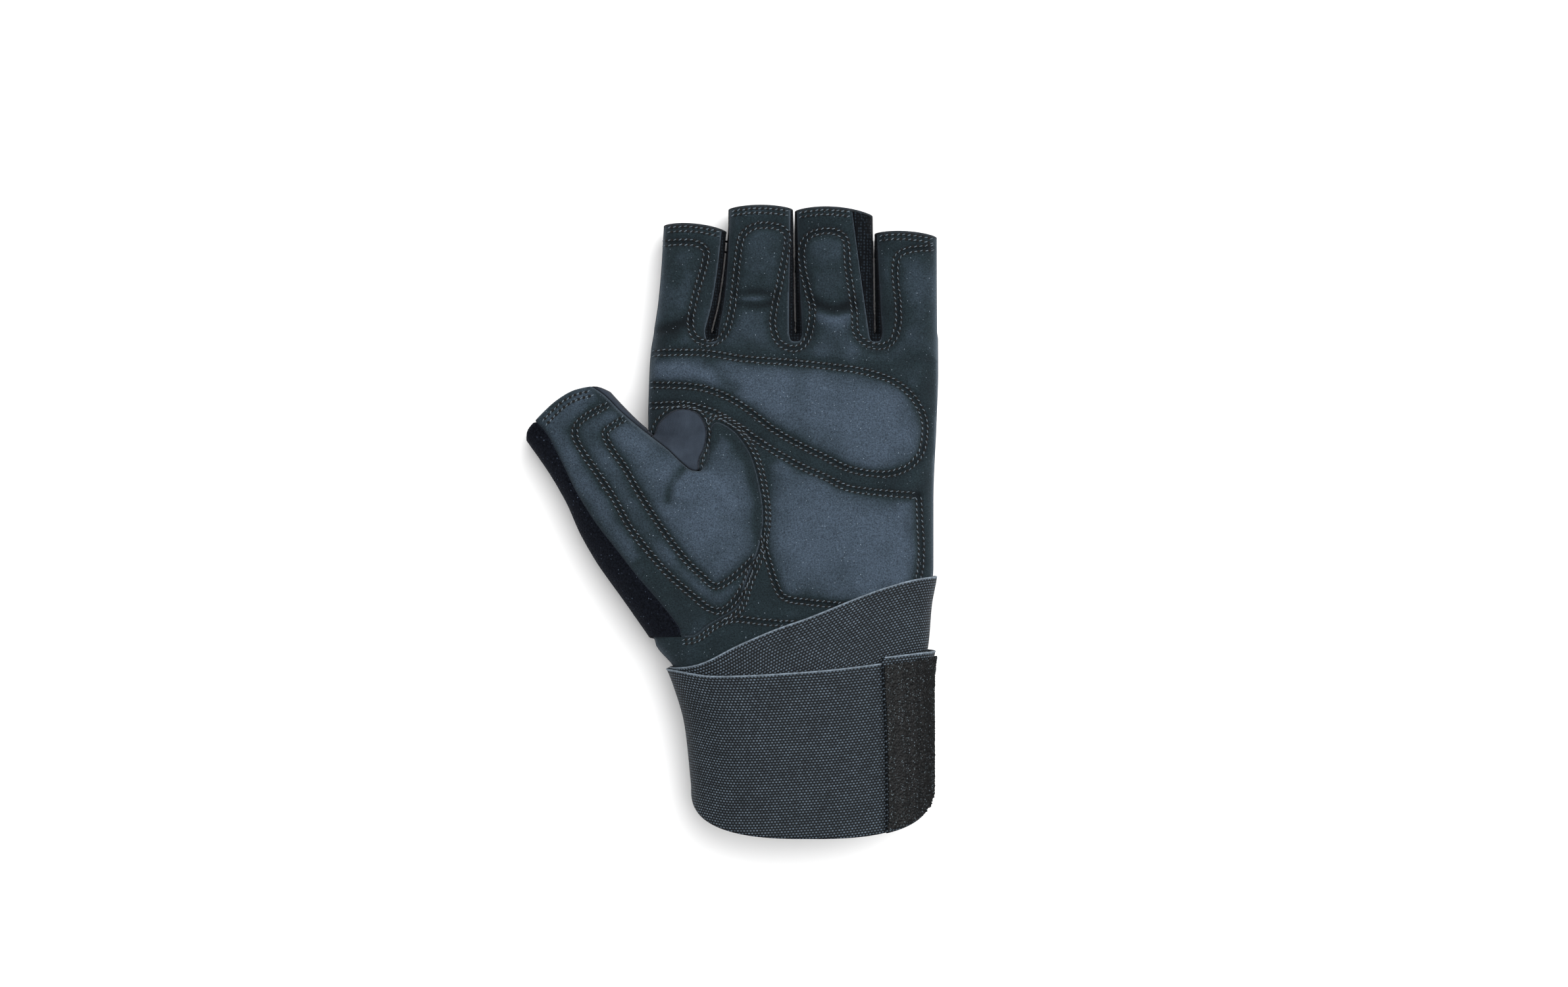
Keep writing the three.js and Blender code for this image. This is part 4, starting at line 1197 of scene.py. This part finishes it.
# The hooks stand in about seven ribs along the strap's width and lean every way, so their tips are
# uneven
hook_columns, hook_rows, hook_wall = 190, 210, 0.7
hook_ribs = 24 / 3.4
rib_height, tip_spread, deepest_tip, highest_tip = 0.16, 0.2, -0.4, 0.5
hook_rib = rib_height * np.cos(2 * math.pi * hook_ribs * np.linspace(0, 1, hook_columns)[:, None])
hook_tips = rng.normal(0, tip_spread, (hook_columns, hook_rows)).clip(deepest_tip, highest_tip)
hook_points, hook_uv, _ = band(hook_start, strap_turns, strap_thickness + hook_lift + hook_rib + hook_tips,
                               hook_margin, hook_columns, hook_rows)
hook = make_object("hook_patch_tape", hook_points.reshape(-1, 3), grid_faces(hook_columns, hook_rows),
                   hook_nylon, uv=hook_uv.reshape(-1, 2))
thicken(hook, hook_wall)
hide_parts("hook_patch")

# The selvage is a cord along the strap's upper edge, sunk into it
selvage_radius, selvage_sunk, selvage_points, selvage_end = 0.36, 0.25, 700, 0.002
turn = np.linspace(selvage_end, strap_turns - selvage_end, selvage_points)
selvage_path = strap_surface(turn, 1.0, strap_thickness - selvage_sunk)
selvage_out = strap_surface(turn, 1.0, strap_thickness + 1) - selvage_path
selvage = make_object("strap_selvage_cord", *tube(selvage_path, selvage_radius, up=selvage_out),
                      selvage_yarn)


# Stitches

# Rings of a rounded grain: place along it and width
capsule_rings = np.array([(-0.5, 0.0), (-0.4, 0.75), (0.0, 1.0), (0.4, 0.75), (0.5, 0.0)])
capsule_sides = 6


def capsules(centres, along, up, size):
    """Rounded grains, one at each centre: rings from point to point, scaled to the size's length,
    width and height, and turned along the given directions. All are one mesh."""
    length, width, height = size
    count = len(capsule_rings)
    turn = np.linspace(0, 2 * math.pi, capsule_sides, endpoint=False)
    place, wide = capsule_rings.T[..., None]
    shape = np.stack([np.broadcast_to(place, (count, capsule_sides)) * length,
                      wide * np.cos(turn) * width / 2, wide * np.sin(turn) * height / 2], -1)
    along = along / np.linalg.norm(along, axis=1, keepdims=True)
    aside = np.cross(up, along)
    aside /= np.linalg.norm(aside, axis=1, keepdims=True)
    over = np.cross(along, aside)
    axes = np.stack([along, aside, over], 1)
    points = (centres[:, None] + shape.reshape(1, -1, 3) @ axes).reshape(-1, 3)
    grain_starts = np.arange(len(centres))[:, None, None] * count * capsule_sides
    faces = grid_faces(count, capsule_sides, wrap=True)[None] + grain_starts
    first, faces = welded(points, faces.reshape(-1, 4))
    return points[first], faces


# How far to either side of a place its slope is taken
slope_step = 0.6


def on_palm(plan):
    """Places on the palm side and the direction square to it, from the slopes beside them."""
    z = palm_side(plan)[0]
    slope = [(palm_side(plan + way)[0] - palm_side(plan - way)[0]) / (2 * slope_step)
             for way in (np.array([slope_step, 0]), np.array([0, slope_step]))]
    up = np.stack([-slope[0], -slope[1], np.ones(len(plan))], 1)
    return np.concatenate([plan, z[:, None]], 1), up / np.linalg.norm(up, axis=1, keepdims=True)


def beside(path, offset):
    """The path moved sideways by offset."""
    way = np.gradient(path, axis=0)
    way /= np.linalg.norm(way, axis=1, keepdims=True)
    return path + offset * np.stack([way[:, 1], -way[:, 0]], 1)


# Rows of stitches: pitch, a twin row's distance from its route, and distances from a seam or a mouth
stitch_pitch = 2.0
twin_offset = 1.0
lobe_insets, web_inset, mouth_insets, hem_gap = (1.2, 2.6), 1.1, (1.3, 2.9), 2.0
mouth_end, outer_end = 0.6, 0.8
# Stitches and the painted shade of the holes: length, width and height, and how high they lie
stitch_size, stitch_lift = (1.3, 0.4, 0.4), 0.2
hole_size, hole_lift = (1.3, 1.05, 0.3), 0.08
# Stitches slant across their row, each a little unlike the next in place and slant
stitch_slant, slant_spread, place_spread = 0.38, 0.12, 0.06
hole_way = (1.0, 0.6, 0.0)

rows = [beside(route, side * twin_offset) for route in palm_routes + thumb_routes for side in (1, -1)]
rows += [beside(lobe, -inset) for inset in lobe_insets] + [beside(web_edge, web_inset)]
for i, finger in enumerate(fingers):
    left, right = mouth_ends(i, outer_end)
    hem = mouth_line(finger, left + mouth_end, right - mouth_end)
    rows += [hem - (0, inset) for inset in mouth_insets]
thumb_hem = thumb_path([(1.015, -0.27), (1.022, -0.1), (1.024, 0.05), (1.012, 0.2), (0.985, 0.35)])
rows += [thumb_hem, thumb_hem - hem_gap * thumb_axis]

paths = [respaced(row, stitch_pitch) for row in rows]
centres = np.concatenate([(path[1:] + path[:-1]) / 2 for path in paths])
ways = np.concatenate([np.diff(path, axis=0) for path in paths])
centres = centres + rng.normal(0, place_spread, centres.shape)
slant = stitch_slant + rng.normal(0, slant_spread, len(ways))
ways = np.stack([ways[:, 0] * np.cos(slant) - ways[:, 1] * np.sin(slant),
                 ways[:, 0] * np.sin(slant) + ways[:, 1] * np.cos(slant)], 1)
strap_free = centres[:, 1] > strap_line(centres[:, 0])
centres, ways = centres[strap_free], ways[strap_free]
places, ups = on_palm(centres)
ahead = np.concatenate([ways, np.zeros((len(ways), 1))], 1)
stitching = make_object("palm_stitching", *capsules(places + stitch_lift * ups, ahead, ups, stitch_size),
                        seam_thread)
# Painted shade in the needle holes: a near-black disc between each two stitches
hole_places, hole_ups = on_palm(np.concatenate([path[1:-1] for path in paths]))
askew = np.tile(hole_way, (len(hole_places), 1))
holes = make_object("needle_hole_shade_discs",
                    *capsules(hole_places + hole_lift * hole_ups, askew, hole_ups, hole_size), needle_hole)


# Rolled hems round the mouths

hem_radius, hem_sides, hem_points = 0.5, 10, 90
# How far back from the mouth a hem lies, and the share of the width at which its height is read
hem_back = 0.4
just_inside = 0.9999


def mouth_ring(finger, inset):
    """Ring round a finger's mouth, set in from its section by inset and a little back from its end.
    Its height is read just inside the finger's sides, where the form still has one."""
    angle = np.linspace(0, 2 * math.pi, hem_points, endpoint=False)
    across, height = squared(np.sin(angle)), squared(np.cos(angle))
    left, right = finger_edges(finger, palm_length + finger["length"])
    x = (left + right) / 2 + ((right - left) / 2 - inset) * across
    y = finger_mouth(finger, x) - hem_back
    plan = np.stack([(left + right) / 2 + (right - left) / 2 * across * just_inside, y], 1)
    z = np.where(height > 0, plain_height(plan, 1), plain_height(plan, -1)) - inset * height
    return np.stack([x, y, z], 1)


hems = make_object("finger_mouth_hems", *joined([
    tube(mouth_ring(finger, hem_radius), hem_radius, hem_sides, up=(0, 1, 0), closed=True)
    for finger in fingers]), dark_binding)


# Floor, light and camera, the last two in metres

floor_half, floor_drop = 2500.0, 0.2


def stage_floor():
    """Plain pale floor, a little below the glove's underside."""
    corners = np.array([(-1, -1, 0), (1, -1, 0), (1, 1, 0), (-1, 1, 0)]) * floor_half - (0, 0, floor_drop)
    material, _, shader = start_material("pale_paper", 1.0, specular=0.0)
    shader.inputs["Base Color"].default_value = colour("#f6f6f6")
    mesh = bpy.data.meshes.new("floor")
    mesh.from_pydata((corners * MM).tolist(), [], [(0, 1, 2, 3)])
    mesh.materials.append(material)
    floor = bpy.data.objects.new("floor", mesh)
    bpy.context.scene.collection.objects.link(floor)


def soft_light(name, place, size, power):
    """Square lamp at a place in metres that faces the glove."""
    lamp = bpy.data.lights.new(name, "AREA")
    lamp.size, lamp.energy = size, power
    made = bpy.data.objects.new(name, lamp)
    made.location = place
    made.rotation_euler = (-made.location).to_track_quat("-Z", "Y").to_euler()
    bpy.context.scene.collection.objects.link(made)


stage_floor()
soft_light("key_light", (0.65, 0.55, 1.55), 1.8, 54)
soft_light("fill_light", (-1.0, -0.2, 1.5), 1.4, 4)
world_light = 0.66
world = bpy.data.worlds.new("studio")
world.use_nodes = True
background = world.node_tree.nodes["Background"].inputs
background["Color"].default_value = colour("#ffffff")
background["Strength"].default_value = world_light
scene = bpy.context.scene
scene.world = world
scene.view_settings.view_transform = "Standard"

# The camera looks straight down. At glove_middle over the floor it takes in frame_width.
view_height, view_middle, glove_middle = 1.5, (0.01834, 0.0105), 0.015
frame_width = 0.572
camera_data = bpy.data.cameras.new("camera")
camera_data.sensor_width = 36
camera_data.lens = camera_data.sensor_width * view_height / frame_width
camera = bpy.data.objects.new("camera", camera_data)
camera.location = (*view_middle, view_height + glove_middle)
scene.collection.objects.link(camera)
scene.camera = camera
